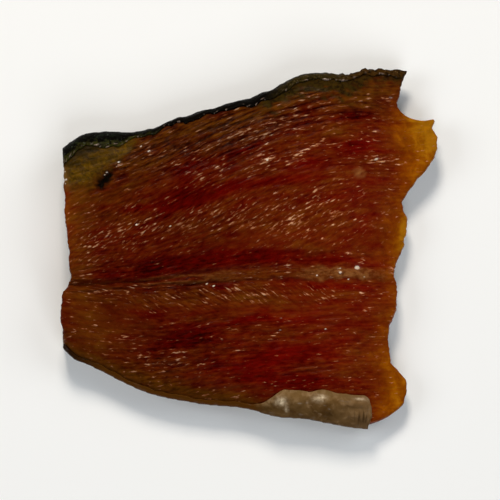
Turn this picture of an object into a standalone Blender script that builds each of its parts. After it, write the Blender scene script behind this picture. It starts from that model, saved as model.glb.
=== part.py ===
"""A piece of dried salmon: one skin-on cross cut of a small fillet.

X runs along the fish, from the clean cut on the left to the ragged end on the right.
Y runs from the belly to the back, and Z is up. The piece lies on its skin, and its
origin is on the surface below it, under the middle of its box.
"""

import math

import bmesh
import bpy
import numpy as np

MM = 0.001

# Where the middle of the finished box lies in the plan's own coordinates, in millimetres.
PLAN_CENTRE = (0.40, -0.88)

# Plan of the flesh. Each edge is a smooth curve through a few knots, in millimetres.
BACK_EDGE = [
    (-32, 15.1), (-29, 17.5), (-26, 18.6), (-23, 18.7), (-20, 18.6), (-17, 19.2), (-12, 21.0), (-7, 22.6),
    (-2, 24.2), (2.5, 26.0), (5.4, 27.1), (9, 28.2), (13, 28.3), (17, 28.3), (28, 28.9),
]
MIDLINE = [(-32, -7.9), (-24, -7.4), (-16, -6.9), (-3, -5.2), (11, -4.8), (28, -4.6)]
BELLY_EDGE = [
    (-32, -16.4), (-30, -18.5), (-27, -19.8), (-23.4, -21.5), (-18, -24.1), (-9, -26.2), (1, -27.4),
    (4.5, -28.4), (11, -29.1), (18, -30.4), (28, -31.0),
]
LEFT_CUT = [(-18, -31.0), (-12.5, -31.6), (-9.5, -31.3), (-7.4, -30.2), (-3, -30.3), (5, -31.0), (11, -31.3), (17, -31.4)]
LEFT_X = -31.3
RIGHT_X = 25.2
RIGHT_SLANT = 0.035  # how far the right end leans out for each millimetre towards the back

# Thin lobes of the ragged end: (middle, reach, spread to the belly side, spread to the back side).
LOBES = [
    (17.2, 7.0, 7.2, 5.0),
    (1.9, 2.0, 4.6, 4.6),
    (-9.6, 0.9, 3.2, 4.0),
    (-16.6, -0.5, 2.6, 3.2),
    (-25.2, 2.9, 4.6, 3.8),
    (29.5, 0.9, 2.4, 2.4),
]
LOBE_START = 0.80  # share of the length at which the grid begins to reach into the lobes
CORNER_CUT = 3.2  # how far the belly corner of the right end is rounded off

# Thickness of the flesh from the belly edge (0) over the midline (0.5) to the back edge (1).
FLESH_THICKNESS = [(0, 4.8), (0.12, 6.0), (0.32, 7.0), (0.5, 7.5), (0.64, 8.3), (0.82, 8.4), (1, 7.0)]
THIN_SHARE = 0.17  # what is left of the thickness in the ragged lobes
THIN_RUN = 8.0  # length over which the flesh thins out
LEFT_EDGE_RADIUS = 1.1
RIGHT_EDGE_RADIUS = 1.0
BACK_EDGE_RADIUS = 4.2
BELLY_EDGE_RADIUS = 3.4
RIM_HEIGHT_SHARE = 0.52  # height of the back and belly rims as a share of the thickness

# Lift of the underside where drying has curled the ends.
RIGHT_LIFT = 2.6
RIGHT_LIFT_START = 13.0
LEFT_LIFT = 0.7
LEFT_LIFT_RUN = 9.0

# Relief of the upper side.
GROOVE_DEPTH = 0.95
GROOVE_SPREAD = 0.75
SEPTUM_HEIGHT = 0.40
SEPTUM_SPREAD = 1.05
SEPTUM_OFFSET = 1.1  # the pale band lies this far to the belly side of the groove
# Rise of the fibres along the fish, on the back side and on the belly side of the midline.
BACK_RISE = [(-32, -7.6), (-20, -4.2), (-8, 0), (4, 4.2), (14, 6.6), (24, 7.8), (33, 8.4)]
BELLY_RISE = [(-32, 1.8), (-20, 0.2), (-8, -0.2), (4, 0.3), (14, 1.0), (33, 2.6)]
RISE_AT_MIDLINE = 0.35  # share of the back side's rise that is left beside the midline
RISE_RUN = 13.0  # distance from the midline at which the rise is full
# Ridges: (height, spacing across the fibres, waves along the fish, phase).
RIDGES = [(0.20, 3.1, 0.055, 0.4), (0.15, 4.7, -0.040, 2.1), (0.12, 2.3, 0.090, 4.0)]
# Broad swells of the dried surface: (x, y, height, spread).
SWELLS = [(-24, -1, -0.5, 7), (-6, 10, 0.5, 10), (8, -14, -0.45, 8), (17, 16, -0.4, 7), (-14, -17, 0.35, 6)]
RELIEF_MARGIN = 5.5  # the relief fades out this near the back and belly edges

# Skin. It ends short of the ragged lobes, and its rims roll over onto the flesh.
SKIN_THICKNESS = 0.8
SKIN_GAP = 0.3
RESTING = 0.05  # what lies lower than this rests on the surface below
RESTING_CORNERS = [(-23.3, -19.1), (17.5, -25.0), (15.1, 20.2), (-22.9, 14.4)]  # of the patch pressed flat there
RESTING_RING = 0.1  # beside that patch the skin is at least this far up
SKIN_END = [(0, 21.9), (0.1, 22.1), (0.5, 23.6), (0.9, 25.2), (1, 26.3)]  # its right end, from belly to back
BACK_LIP = [(-31, 2.4), (-22, 2.1), (-16, 1.4), (0, 1.4), (9, 2.7), (28, 2.7)]  # width of the rolled rim along the fish
BELLY_LIP = 0.4
FLAP_LIP = [(-1, -0.6), (4.2, 2.5), (12, 3.7), (21, 4.7)]  # the same along the pale flap at the belly

# Grids.
FLESH_STEPS_ALONG = 30
FLESH_STEPS_ACROSS = 66
SKIN_STEPS_ALONG = 27
SKIN_STEPS_ACROSS = 22
EDGE_STEPS = 4  # extra grid lines round each rolled edge
LIP_STEPS = 4

FLESH_COLOUR = (0.120, 0.014, 0.002, 1.0)
SKIN_COLOUR = (0.020, 0.018, 0.011, 1.0)


def curve_through(knots, at):
    """A smooth curve through (place, value) knots, read at an array of places."""
    places, values = (np.array(column, float) for column in zip(*knots))
    slopes = np.gradient(values, places)
    at = np.clip(at, places[0], places[-1])
    span = np.clip(np.searchsorted(places, at) - 1, 0, len(places) - 2)
    width = places[span + 1] - places[span]
    t = (at - places[span]) / width
    return (
        values[span] * (1 + 2 * t) * (1 - t) ** 2
        + slopes[span] * width * t * (1 - t) ** 2
        + values[span + 1] * t**2 * (3 - 2 * t)
        + slopes[span + 1] * width * t**2 * (t - 1)
    )


def ease(t):
    """0 below 0, 1 above 1, and a smooth step between."""
    t = np.clip(t, 0, 1)
    return t * t * (3 - 2 * t)


def rolled(distance, radius):
    """Height share of a rolled edge, this far in from its rim."""
    return np.sqrt(1 - (1 - np.clip(distance / radius, 0, 1)) ** 2)


def lobe_reach(y):
    """How far the ragged end stands out past its straight line."""
    reach = np.zeros_like(y)
    for middle, height, belly_side, back_side in LOBES:
        slope = np.exp(-(((y - middle) / belly_side) ** 2))
        step = np.exp(-(((y - middle) / back_side) ** 4))
        reach = reach + height * np.where(y < middle, slope, step)
    corner = np.clip((BELLY_EDGE[-1][1] + CORNER_CUT - y) / CORNER_CUT, 0, 1)
    return reach - CORNER_CUT * corner**2


def plan(u, v, lobes=1.0):
    """Plan position for u, from the left cut to the ragged end, and v, from belly to back.

    It returns x, y and the distances to the four edges: left, right, belly and back."""
    run = LEFT_X + u * (RIGHT_X - LEFT_X)
    belly = curve_through(BELLY_EDGE, run)
    middle = curve_through(MIDLINE, run)
    back = curve_through(BACK_EDGE, run)
    y = np.where(v < 0.5, belly + (middle - belly) * 2 * v, middle + (back - middle) * (2 * v - 1))
    left = curve_through(LEFT_CUT, y)
    right = RIGHT_X + RIGHT_SLANT * y
    reach = lobes * lobe_reach(y)
    x = left + u * (right - left) + reach * ease((u - LOBE_START) / (1 - LOBE_START))
    return x, y, (x - left, right + reach - x, y - belly, back - y)


def underside(x):
    """Height of the flesh's underside over the surface it lies on, away from its rims."""
    right = RIGHT_LIFT * ease((x - RIGHT_LIFT_START) / (RIGHT_X + LOBES[0][1] - RIGHT_LIFT_START)) ** 2
    left = LEFT_LIFT * ease((LEFT_X + LEFT_LIFT_RUN - x) / LEFT_LIFT_RUN) ** 2
    return SKIN_THICKNESS + SKIN_GAP + right + left


def thickness(x, y, v):
    """Full thickness of the flesh, thinned out towards the ragged end."""
    thinning = ease((x - (RIGHT_X + RIGHT_SLANT * y - THIN_RUN * 0.75)) / THIN_RUN)
    return curve_through(FLESH_THICKNESS, v) * (1 - (1 - THIN_SHARE) * thinning)


def fibre_level(x, from_midline):
    """A height across the fibres, which stays the same all along one fibre."""
    share = RISE_AT_MIDLINE + (1 - RISE_AT_MIDLINE) * ease(from_midline / RISE_RUN)
    rise = np.where(from_midline > 0, share * curve_through(BACK_RISE, x), curve_through(BELLY_RISE, x))
    return from_midline - rise


def relief(x, y, edges):
    """Groove and pale band of the midline, fibre ridges and broad swells, as heights."""
    from_midline = y - curve_through(MIDLINE, x)
    groove = -GROOVE_DEPTH * np.exp(-((from_midline / GROOVE_SPREAD) ** 2))
    band = SEPTUM_HEIGHT * np.exp(-(((from_midline + SEPTUM_OFFSET) / SEPTUM_SPREAD) ** 2))
    across = fibre_level(x, from_midline)
    ridges = np.zeros_like(x)
    for height, spacing, wander, phase in RIDGES:
        ridges = ridges + height * np.sin(math.tau * across / spacing + wander * x * np.cos(0.3 * x) + phase)
    swells = np.zeros_like(x)
    for centre_x, centre_y, height, spread in SWELLS:
        away = ((x - centre_x) ** 2 + (y - centre_y) ** 2) / spread**2
        swells = swells + height * np.exp(-away)
    left, right, belly, back = edges
    calm = ease(np.minimum(belly, back) / RELIEF_MARGIN) * ease((right - 1) / THIN_RUN)
    calm = calm * ease(np.abs(from_midline) / 2)
    return (groove + band) * ease((right - 1) / 4) + (ridges + swells) * calm


def flesh_heights(x, y, v, edges):
    """Heights of the underside and of the upper side, which meet at the back and belly rims."""
    left, right, belly, back = edges
    roll = rolled(belly, BELLY_EDGE_RADIUS) * rolled(back, BACK_EDGE_RADIUS)
    full = thickness(x, y, v)
    low = underside(x) + full * RIM_HEIGHT_SHARE * (1 - roll)
    high = underside(x) + full * (RIM_HEIGHT_SHARE + (1 - RIM_HEIGHT_SHARE) * roll)
    return low, high + relief(x, y, edges) * roll


def edge_lines(steps, first_radius, last_radius, length):
    """Grid lines from 0 to 1, gathered at each end so that they turn a rolled edge evenly."""
    turn = 1 - np.cos(np.linspace(0, math.pi / 2, EDGE_STEPS + 1))
    first = turn * first_radius / length
    last = 1 - turn[::-1] * last_radius / length
    return np.concatenate([first, np.linspace(first[-1], last[0], steps + 1)[1:-1], last])


def to_world(x, y, z):
    """Millimetres of the plan to metres about the origin, one row for each point."""
    return np.stack([x - PLAN_CENTRE[0], y - PLAN_CENTRE[1], z], axis=-1) * MM


def add_grid(bm, points):
    """Adds a grid to the mesh and puts its vertices on the rows and columns of points."""
    rows, columns = points.shape[:2]
    made = bmesh.ops.create_grid(bm, x_segments=rows - 1, y_segments=columns - 1, size=1.0)["verts"]
    lattice = {}
    for vert in made:
        i = round((vert.co.x + 1) / 2 * (rows - 1))
        j = round((vert.co.y + 1) / 2 * (columns - 1))
        lattice[i, j] = vert
    for (i, j), vert in lattice.items():
        vert.co = points[i, j]
    return lattice


def thin_out(bm, lattice, rows, columns):
    """Removes every second inner grid line of a sheet that needs no fine relief."""
    lines = set()
    for (i, j), vert in lattice.items():
        inner_i, inner_j = 0 < i < rows - 1, 0 < j < columns - 1
        if inner_j and j % 2 and i < rows - 1:
            lines.add(bm.edges.get((vert, lattice[i + 1, j])))
        if inner_i and i % 2 and j < columns - 1:
            lines.add(bm.edges.get((vert, lattice[i, j + 1])))
    bmesh.ops.dissolve_edges(bm, edges=list(lines), use_verts=False)
    kept = [vert for vert in lattice.values() if vert.is_valid and not vert.is_boundary]
    left_over = [vert for vert in kept if len(vert.link_edges) == 2]
    bmesh.ops.dissolve_verts(bm, verts=left_over)


def new_object(name, bm, colour, roughness, collection):
    """Makes the mesh an object of the collection with its own material."""
    mesh = bpy.data.meshes.new(name)
    bm.to_mesh(mesh)
    bm.free()
    mesh.shade_smooth()
    material = bpy.data.materials.new(name)
    material.use_nodes = True
    surface = material.node_tree.nodes["Principled BSDF"]
    surface.inputs["Base Color"].default_value = colour
    surface.inputs["Roughness"].default_value = roughness
    surface.inputs["Metallic"].default_value = 0.0
    mesh.materials.append(material)
    obj = bpy.data.objects.new(name, mesh)
    collection.objects.link(obj)
    return obj


def make_flesh(collection):
    """The flesh: an upper and a lower sheet, stitched together all round."""
    length = RIGHT_X - LEFT_X
    width = float(curve_through(BACK_EDGE, 0.0) - curve_through(BELLY_EDGE, 0.0))
    u = edge_lines(FLESH_STEPS_ALONG, LEFT_EDGE_RADIUS, RIGHT_EDGE_RADIUS, length)
    v = edge_lines(FLESH_STEPS_ACROSS, BELLY_EDGE_RADIUS, BACK_EDGE_RADIUS, width)
    u, v = np.meshgrid(u, v, indexing="ij")
    x, y, edges = plan(u, v)
    low, high = flesh_heights(x, y, v, edges)
    ends = rolled(edges[0], LEFT_EDGE_RADIUS) * rolled(edges[1], RIGHT_EDGE_RADIUS)
    bm = bmesh.new()
    add_grid(bm, to_world(x, y, low + (high - low) * ends))
    lower = add_grid(bm, to_world(x, y, low))
    bmesh.ops.reverse_faces(bm, faces=list({face for vert in lower.values() for face in vert.link_faces}))
    thin_out(bm, lower, *u.shape)
    bmesh.ops.remove_doubles(bm, verts=bm.verts[:], dist=0.002 * MM)
    return new_object("flesh", bm, FLESH_COLOUR, 0.32, collection)


def skin_sheet():
    """Points of the skin's inner side before its gap: belly lip, underside and back lip."""
    length = RIGHT_X - LEFT_X
    u = np.linspace(0, 1, SKIN_STEPS_ALONG + 1)
    run = LEFT_X + u * length
    half_width = curve_through(MIDLINE, run) - curve_through(BELLY_EDGE, run)
    back_width = curve_through(BACK_EDGE, run) - curve_through(MIDLINE, run)
    belly_reach = np.maximum(curve_through(FLAP_LIP, run), BELLY_LIP) / half_width / 2
    back_reach = curve_through(BACK_LIP, run) / back_width / 2
    under = edge_lines(SKIN_STEPS_ACROSS, BELLY_EDGE_RADIUS, BACK_EDGE_RADIUS, half_width.mean() + back_width.mean())
    lip = np.linspace(1, 0, LIP_STEPS + 1)[:-1]
    v = np.concatenate(
        [
            np.outer(belly_reach, lip),
            np.tile(under, (len(u), 1)),
            1 - np.outer(back_reach, lip[::-1]),
        ],
        axis=1,
    )
    on_top = np.ones(v.shape[1], bool)
    on_top[LIP_STEPS:-LIP_STEPS] = False
    end = (curve_through(SKIN_END, v) - LEFT_X) / length
    x, y, edges = plan(u[:, None] * end, v, lobes=0.0)
    low, high = flesh_heights(x, y, v, edges)
    return to_world(x, y, np.where(on_top, high, low))


def press_flat(mesh):
    """Presses the skin flat where the piece rests, on a patch with four corners."""
    low = [vert.co for vert in mesh.vertices if vert.co.z < RESTING * MM]
    corners = []
    for x, y in RESTING_CORNERS:
        wanted = to_world(x, y, 0.0)[:2]
        corners.append(min(low, key=lambda co: math.dist(co[:2], wanted)).copy())
    sides = list(zip(corners, corners[1:] + corners[:1]))
    for vert in mesh.vertices:
        if vert.co.z < RESTING_RING * MM:
            turns = [(b.x - a.x) * (vert.co.y - a.y) - (b.y - a.y) * (vert.co.x - a.x) for a, b in sides]
            vert.co.z = 0.0 if min(turns) > -1e-12 else RESTING_RING * MM


def make_skin(collection):
    """The skin: an open sheet that follows the flesh, made solid and pressed flat below."""
    bm = bmesh.new()
    add_grid(bm, skin_sheet())
    bmesh.ops.reverse_faces(bm, faces=bm.faces[:])
    bm.normal_update()
    normals = [vert.normal.copy() for vert in bm.verts]
    for vert, normal in zip(bm.verts, normals):
        vert.co += normal * SKIN_GAP * MM
    skin = new_object("skin", bm, SKIN_COLOUR, 0.45, collection)
    solid = skin.modifiers.new("thickness", "SOLIDIFY")
    solid.thickness = SKIN_THICKNESS * MM
    solid.offset = 1.0
    solid.use_even_offset = True
    seen = skin.evaluated_get(bpy.context.evaluated_depsgraph_get())
    pressed = bpy.data.meshes.new_from_object(seen)
    skin.modifiers.clear()
    skin.data = pressed
    press_flat(pressed)
    return skin


def main():
    for obj in list(bpy.data.objects):
        bpy.data.objects.remove(obj)
    collection = bpy.data.collections.new("dried_salmon")
    bpy.context.scene.collection.children.link(collection)
    make_flesh(collection)
    make_skin(collection)


main()
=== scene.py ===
# %% [markdown]
# # A piece of dried salmon
#
# The object is one cross cut of a small salmon fillet that was dried with its skin on.
# The flesh is oily and see-through, deep red where it is thick and yellow where it is thin.
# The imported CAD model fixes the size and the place. This lesson dresses it with two pieces,
# the flesh and the skin, which are modelled finely enough to show the fibres and the scales.

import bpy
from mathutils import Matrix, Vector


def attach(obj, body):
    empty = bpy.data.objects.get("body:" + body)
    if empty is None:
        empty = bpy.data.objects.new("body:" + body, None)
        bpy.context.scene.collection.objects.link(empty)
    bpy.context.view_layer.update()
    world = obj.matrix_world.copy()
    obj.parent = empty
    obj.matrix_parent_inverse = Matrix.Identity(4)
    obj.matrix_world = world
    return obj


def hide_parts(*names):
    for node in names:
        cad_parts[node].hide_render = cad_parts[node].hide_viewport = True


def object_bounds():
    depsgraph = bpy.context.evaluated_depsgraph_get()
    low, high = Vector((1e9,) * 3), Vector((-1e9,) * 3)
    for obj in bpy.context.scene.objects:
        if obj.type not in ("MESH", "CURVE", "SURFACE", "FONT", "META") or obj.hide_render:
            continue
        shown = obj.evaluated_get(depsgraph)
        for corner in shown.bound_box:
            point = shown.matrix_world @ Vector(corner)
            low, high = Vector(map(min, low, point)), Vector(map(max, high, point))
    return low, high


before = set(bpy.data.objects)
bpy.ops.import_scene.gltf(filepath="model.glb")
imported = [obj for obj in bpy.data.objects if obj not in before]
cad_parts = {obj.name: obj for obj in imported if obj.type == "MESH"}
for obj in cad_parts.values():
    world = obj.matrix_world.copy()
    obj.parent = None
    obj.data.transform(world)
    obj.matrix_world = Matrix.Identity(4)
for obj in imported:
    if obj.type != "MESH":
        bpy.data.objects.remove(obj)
cad_box = [list(corner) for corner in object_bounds()]

# %% Libraries and units
import math

import bpy
import numpy as np

MM = 0.001
cad_size = [round((high - low) / MM, 1) for low, high in zip(*cad_box)]
print("CAD box in millimetres:", cad_size)

# %% [markdown]
# ## Camera
#
# The piece is seen almost straight from above, tipped a little towards its belly edge. A
# long lens keeps the outline nearly free of perspective, and the distance follows from the
# share of the picture that the piece should fill.

# %% Camera
SHARE_OF_PICTURE = 0.76
CAMERA_ELEVATION = math.radians(78)
LENS = 300 * MM
SENSOR = 36 * MM
NEAREST = 10 * MM
AIM = (0.0, 0.0, 4 * MM)

piece_length = cad_box[1][0] - cad_box[0][0]
distance = LENS / SENSOR * piece_length / SHARE_OF_PICTURE
camera_data = bpy.data.cameras.new("camera")
camera_data.lens = LENS / MM
camera_data.sensor_width = SENSOR / MM
camera_data.clip_start = NEAREST
camera = bpy.data.objects.new("camera", camera_data)
camera.location = (
    AIM[0],
    AIM[1] - distance * math.cos(CAMERA_ELEVATION),
    AIM[2] + distance * math.sin(CAMERA_ELEVATION),
)
camera.rotation_euler = (math.pi / 2 - CAMERA_ELEVATION, 0, 0)
bpy.context.scene.collection.objects.link(camera)
bpy.context.scene.camera = camera
print("camera distance in metres:", round(distance, 3))

# %% [markdown]
# ## Floor and light
#
# Wet dark food shows its colour only where it doesn't mirror something bright. So the sky
# is dark for all but the camera, and soft boxes stand low round the piece. Their light
# reaches the camera only from the flanks of the fibres, as small wet glints.

# %% Floor
FLOOR_SIZE = 3.0
FLOOR_FINISH = {
    "Base Color": (0.90, 0.91, 0.92, 1.0),
    "Roughness": 0.9,
    "Specular IOR Level": 0.1,
}

bpy.ops.object.select_all(action="DESELECT")
bpy.ops.mesh.primitive_plane_add(size=FLOOR_SIZE, location=(0, 0, 0))
floor = bpy.context.object
floor.name = "floor"
floor_material = bpy.data.materials.new("pale floor")
floor_material.use_nodes = True
for socket, value in FLOOR_FINISH.items():
    floor_material.node_tree.nodes["Principled BSDF"].inputs[socket].default_value = value
floor.data.materials.append(floor_material)

# %% Sky
SKY_SEEN = (0.90, 0.90, 0.90, 1.0)
SKY_LIGHT = (0.05, 0.05, 0.052, 1.0)

world = bpy.data.worlds.new("sky")
world.use_nodes = True
bpy.context.scene.world = world
sky = world.node_tree
lit = sky.nodes["Background"]
lit.inputs["Color"].default_value = SKY_LIGHT
seen = sky.nodes.new("ShaderNodeBackground")
seen.inputs["Color"].default_value = SKY_SEEN
path = sky.nodes.new("ShaderNodeLightPath")
either = sky.nodes.new("ShaderNodeMixShader")
sky.links.new(path.outputs["Is Camera Ray"], either.inputs["Fac"])
sky.links.new(lit.outputs["Background"], either.inputs[1])
sky.links.new(seen.outputs["Background"], either.inputs[2])
sky.links.new(either.outputs["Shader"], sky.nodes["World Output"].inputs["Surface"])
bpy.context.scene.view_settings.view_transform = "Standard"


# %% Soft boxes
WARM = (1.0, 0.91, 0.79)
COOL = (0.94, 0.98, 1.0)
# Name, azimuth and elevation in degrees, distance and size in metres, watts, colour.
SOFT_BOXES = [
    ("window light", 98, 44, 0.70, 0.20, 3.3, WARM),
    ("right fill", 20, 40, 0.80, 0.55, 1.7, COOL),
    ("front fill", -75, 42, 0.80, 0.50, 2.6, COOL),
    ("left fill", 180, 38, 0.80, 0.45, 1.7, COOL),
]

for name, azimuth, elevation, reach, size, power, colour in SOFT_BOXES:
    data = bpy.data.lights.new(name, "AREA")
    data.size, data.energy, data.color = size, power, colour
    light = bpy.data.objects.new(name, data)
    around, up = math.radians(azimuth), math.radians(elevation)
    light.location = (
        reach * math.cos(up) * math.cos(around),
        reach * math.cos(up) * math.sin(around),
        reach * math.sin(up),
    )
    light.rotation_euler = light.location.to_track_quat("Z", "Y").to_euler()
    bpy.context.scene.collection.objects.link(light)
print("soft boxes:", len(SOFT_BOXES))

# %% [markdown]
# ## Curves and noise
#
# The outline, the thickness and the fibres follow a few measured knots. One helper reads a
# smooth curve through such knots, and others add gentle noise from a seeded lattice and
# soft patches, so that the piece is uneven like food and yet the same each time.


# %% Helpers for smooth shapes
def curve_through(knots, at):
    """A smooth curve through (place, value) knots, read at an array of places."""
    places, values = (np.array(column, float) for column in zip(*knots))
    slopes = np.gradient(values, places)
    at = np.clip(at, places[0], places[-1])
    span = np.clip(np.searchsorted(places, at) - 1, 0, len(places) - 2)
    width = places[span + 1] - places[span]
    t = (at - places[span]) / width
    return (
        values[span] * (1 + 2 * t) * (1 - t) ** 2
        + slopes[span] * width * t * (1 - t) ** 2
        + values[span + 1] * t**2 * (3 - 2 * t)
        + slopes[span + 1] * width * t**2 * (t - 1)
    )


def ease(t):
    """0 below 0, 1 above 1, and a smooth step between."""
    t = np.clip(t, 0, 1)
    return t * t * (3 - 2 * t)


def grow(value, start, run):
    """0 up to the start, 1 a run later, and a smooth step between."""
    return ease((value - start) / run)


def fade(value, end, run):
    """0 from the end on, 1 a run before it, and a smooth step between."""
    return ease((end - value) / run)


def within(value, start, rise, end, fall):
    """1 between two places. It grows from the start on and fades to the end."""
    return grow(value, start, rise) * fade(value, end, fall)


def rolled(inward, radius):
    """Height share of a rolled edge, this far in from its rim."""
    return np.sqrt(1 - (1 - np.clip(inward / radius, 0, 1)) ** 2)


def bump(x, y, spread_x, spread_y):
    """A soft round bump of height 1."""
    return np.exp(-((x / spread_x) ** 2) - (y / spread_y) ** 2)


def patched(values, patches, x, y):
    """Adds soft patches: (x, y, half length, half width, slope, how much)."""
    for at_x, at_y, half_length, half_width, slope, change in patches:
        lean = y - at_y - slope * (x - at_x)
        values = values + change * bump(x - at_x, lean, half_length, half_width)
    return values


# %% Helpers for noise
LATTICE = 64
ALONG_A_LINE = 0.5


def mottle(seed, x, y):
    """Smooth noise from about -1 to 1, with about one lump in each unit of x and y."""
    x, y = np.broadcast_arrays(np.asarray(x, float), np.asarray(y, float))
    turn = np.random.default_rng(seed).uniform(0, math.tau, (LATTICE, LATTICE))
    column, row = np.floor(x).astype(int), np.floor(y).astype(int)
    right, up = x - column, y - row

    def corner(step_x, step_y):
        angle = turn[(column + step_x) % LATTICE, (row + step_y) % LATTICE]
        return np.cos(angle) * (right - step_x) + np.sin(angle) * (up - step_y)

    lower = corner(0, 0) + (corner(1, 0) - corner(0, 0)) * ease(right)
    upper = corner(0, 1) + (corner(1, 1) - corner(0, 1)) * ease(right)
    return 1.5 * (lower + (upper - lower) * ease(up))


def uneven(layers, x, y=None):
    """Adds up layers of noise: (seed, height, length of a lump, and its width, if not a line)."""
    total = 0.0
    for seed, height, length, *width in layers:
        across = y / width[0] if width else ALONG_A_LINE
        total = total + height * mottle(seed, x / length, across)
    return total


# %% [markdown]
# ## The outline of the piece
#
# Any point of the piece is found by two shares: `u` runs from the clean cut on the left to
# the ragged end on the right, and `v` from the belly over the midline to the back. The
# numbers are millimetres. The outline is that of the CAD model, so that the new surface
# lies on the old one, but for the dried skin that stands up at the back, the bumpy rim and
# the fine nicks, which are added here.

# %% Outline knots, in millimetres
PLAN_CENTRE = (0.40, -0.88)
BACK_EDGE = [
    (-32, 15.1), (-29, 17.5), (-26, 18.6), (-23, 18.7), (-20, 18.6), (-17, 19.2), (-12, 21),
    (-7, 22.6), (-2, 24.2), (2.5, 26), (5.4, 27.1), (9, 28.2), (13, 28.3), (17, 28.3), (28, 28.9),
]
MIDLINE = [(-32, -7.9), (-24, -7.4), (-16, -6.9), (-3, -5.2), (11, -4.8), (28, -4.6)]
BELLY_EDGE = [
    (-32, -16.4), (-30, -18.5), (-27, -19.8), (-23.4, -21.5), (-18, -24.1), (-9, -26.2),
    (1, -27.4), (4.5, -28.4), (11, -29.1), (18, -30.4), (28, -31),
]
LEFT_CUT = [
    (-18, -31), (-12.5, -31.6), (-9.5, -31.3), (-7.4, -30.2), (-3, -30.3), (5, -31), (11, -31.3),
    (17, -31.4),
]
LEFT_X = -31.3
RIGHT_X = 25.2
RIGHT_SLANT = 0.035
# Thin lobes of the ragged end: (middle, reach, spread to the belly, spread to the back).
LOBES = [
    (17.2, 7, 7.2, 5), (1.9, 2, 4.6, 4.6), (-9.6, 0.9, 3.2, 4), (-16.6, -0.5, 2.6, 3.2),
    (-25.2, 2.9, 4.6, 3.8), (29.5, 0.9, 2.4, 2.4),
]
LOBE_START = 0.80
LOBE_WEAR = 0.35
CORNER_CUT = 4.6
# The dressed flesh fills the clearance that the CAD model keeps beside its thick skin.
RIM_FILL = 0.6
# The dried skin stands up past it at the right of the back: (x, how far).
BACK_STANDS = [
    (-4, 0), (1.6, -0.4), (5.2, 0), (9.2, 0.7), (13, 0.6), (17.3, 0.6), (18.6, 1.2), (24, 1.25),
    (28, 1),
]
SPIKE_PLACE = 21.2
SPIKE_REACH = 1.8
SPIKE_SPREAD = 0.55
FRAYED_RIM = [(19, 0.24, 0.75)]
FRAYED_START = (16, 2)
BUMPY_RIM = [(57, 0.22, 1.7)]
BUMPY_STRETCH = (-27, 3, 8, 4)
NICKS = [(11, 0.22, 1.3), (12, 0.10, 0.5)]


# %% From shares to places
def lobe_reach(y):
    """How far the ragged end stands out past its straight line."""
    reach = np.zeros_like(y)
    for middle, height, belly_side, back_side in LOBES:
        slope = np.exp(-(((y - middle) / belly_side) ** 2))
        step = np.exp(-(((y - middle) / back_side) ** 4))
        reach = reach + height * np.where(y < middle, slope, step)
    corner = np.clip((BELLY_EDGE[-1][1] + CORNER_CUT - y) / CORNER_CUT, 0, 1)
    return reach - CORNER_CUT * corner**3


def plan(u, v, lobes=1.0):
    """Place in the plan, and the distances to the left, right, belly and back edges."""
    run = LEFT_X + u * (RIGHT_X - LEFT_X)
    belly = curve_through(BELLY_EDGE, run) - RIM_FILL
    middle = curve_through(MIDLINE, run)
    back = curve_through(BACK_EDGE, run) + RIM_FILL + curve_through(BACK_STANDS, run)
    back = back + uneven(FRAYED_RIM, run) * grow(run, *FRAYED_START)
    back = back + uneven(BUMPY_RIM, run) * within(run, *BUMPY_STRETCH)
    below = belly + (middle - belly) * 2 * v
    y = np.where(v < 0.5, below, middle + (back - middle) * (2 * v - 1))
    left = curve_through(LEFT_CUT, y)
    right = RIGHT_X + RIGHT_SLANT * y
    spike = SPIKE_REACH * bump(y - SPIKE_PLACE, 0, SPIKE_SPREAD, 1)
    reach = lobes * (lobe_reach(y) + uneven(NICKS, y) + spike - LOBE_WEAR)
    x = left + u * (right - left) + reach * ease((u - LOBE_START) / (1 - LOBE_START))
    return x, y, (x - left, right + reach - x, y - belly, back - y)


# %% [markdown]
# ## Thickness
#
# The flesh is thickest above the midline and thins to a see-through margin at the ragged
# end. Drying lifts the right end off the table. Both rims, at the back and the belly, are
# rolled like the edge of a cushion, and the knife cut on the left stands upright.

# %% Heights, in millimetres
FLESH_THICKNESS = [(0, 4.8), (0.12, 6), (0.32, 7), (0.5, 7.5), (0.64, 8.3), (0.82, 8.4), (1, 7)]
THIN_SHARE = 0.17
THIN_RUN = 13.0
THIN_BEFORE_EDGE = 0.75
THIN_WANDER = [(10, 1.6, 6)]
BACK_ROLL = 4.2
BELLY_ROLL = 3.4
RIM_HEIGHT_SHARE = 0.52
CUT_ROLL = 0.8
THIN_EDGE_ROLL = 0.7
SKIN_THICKNESS = 0.8
CLEARANCE = 0.06
RIGHT_LIFT = 2.6
RIGHT_LIFT_START = 13.0
LEFT_LIFT = 0.7
LEFT_LIFT_RUN = 9.0


def underside(x):
    """Height of the flesh's underside over the table, away from its rims."""
    lift_run = RIGHT_X + LOBES[0][1] - RIGHT_LIFT_START
    right = RIGHT_LIFT * ease((x - RIGHT_LIFT_START) / lift_run) ** 2
    left = LEFT_LIFT * ease((LEFT_X + LEFT_LIFT_RUN - x) / LEFT_LIFT_RUN) ** 2
    return SKIN_THICKNESS + CLEARANCE + right + left


def thinness(x, y):
    """0 where the flesh has its full thickness and 1 in the see-through margin."""
    start = RIGHT_X + RIGHT_SLANT * y - THIN_RUN * THIN_BEFORE_EDGE + uneven(THIN_WANDER, y)
    return ease((x - start) / THIN_RUN)


def flesh_heights(x, y, v, edges, relief):
    """Heights of the underside and of the upper side, which carries the relief."""
    belly, back = edges[2:]
    roll = rolled(belly, BELLY_ROLL) * rolled(back, BACK_ROLL)
    full = curve_through(FLESH_THICKNESS, v) * (1 - (1 - THIN_SHARE) * thinness(x, y))
    low = underside(x) + full * RIM_HEIGHT_SHARE * (1 - roll)
    high = underside(x) + full * (RIM_HEIGHT_SHARE + (1 - RIM_HEIGHT_SHARE) * roll)
    return low, high + relief * roll


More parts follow.
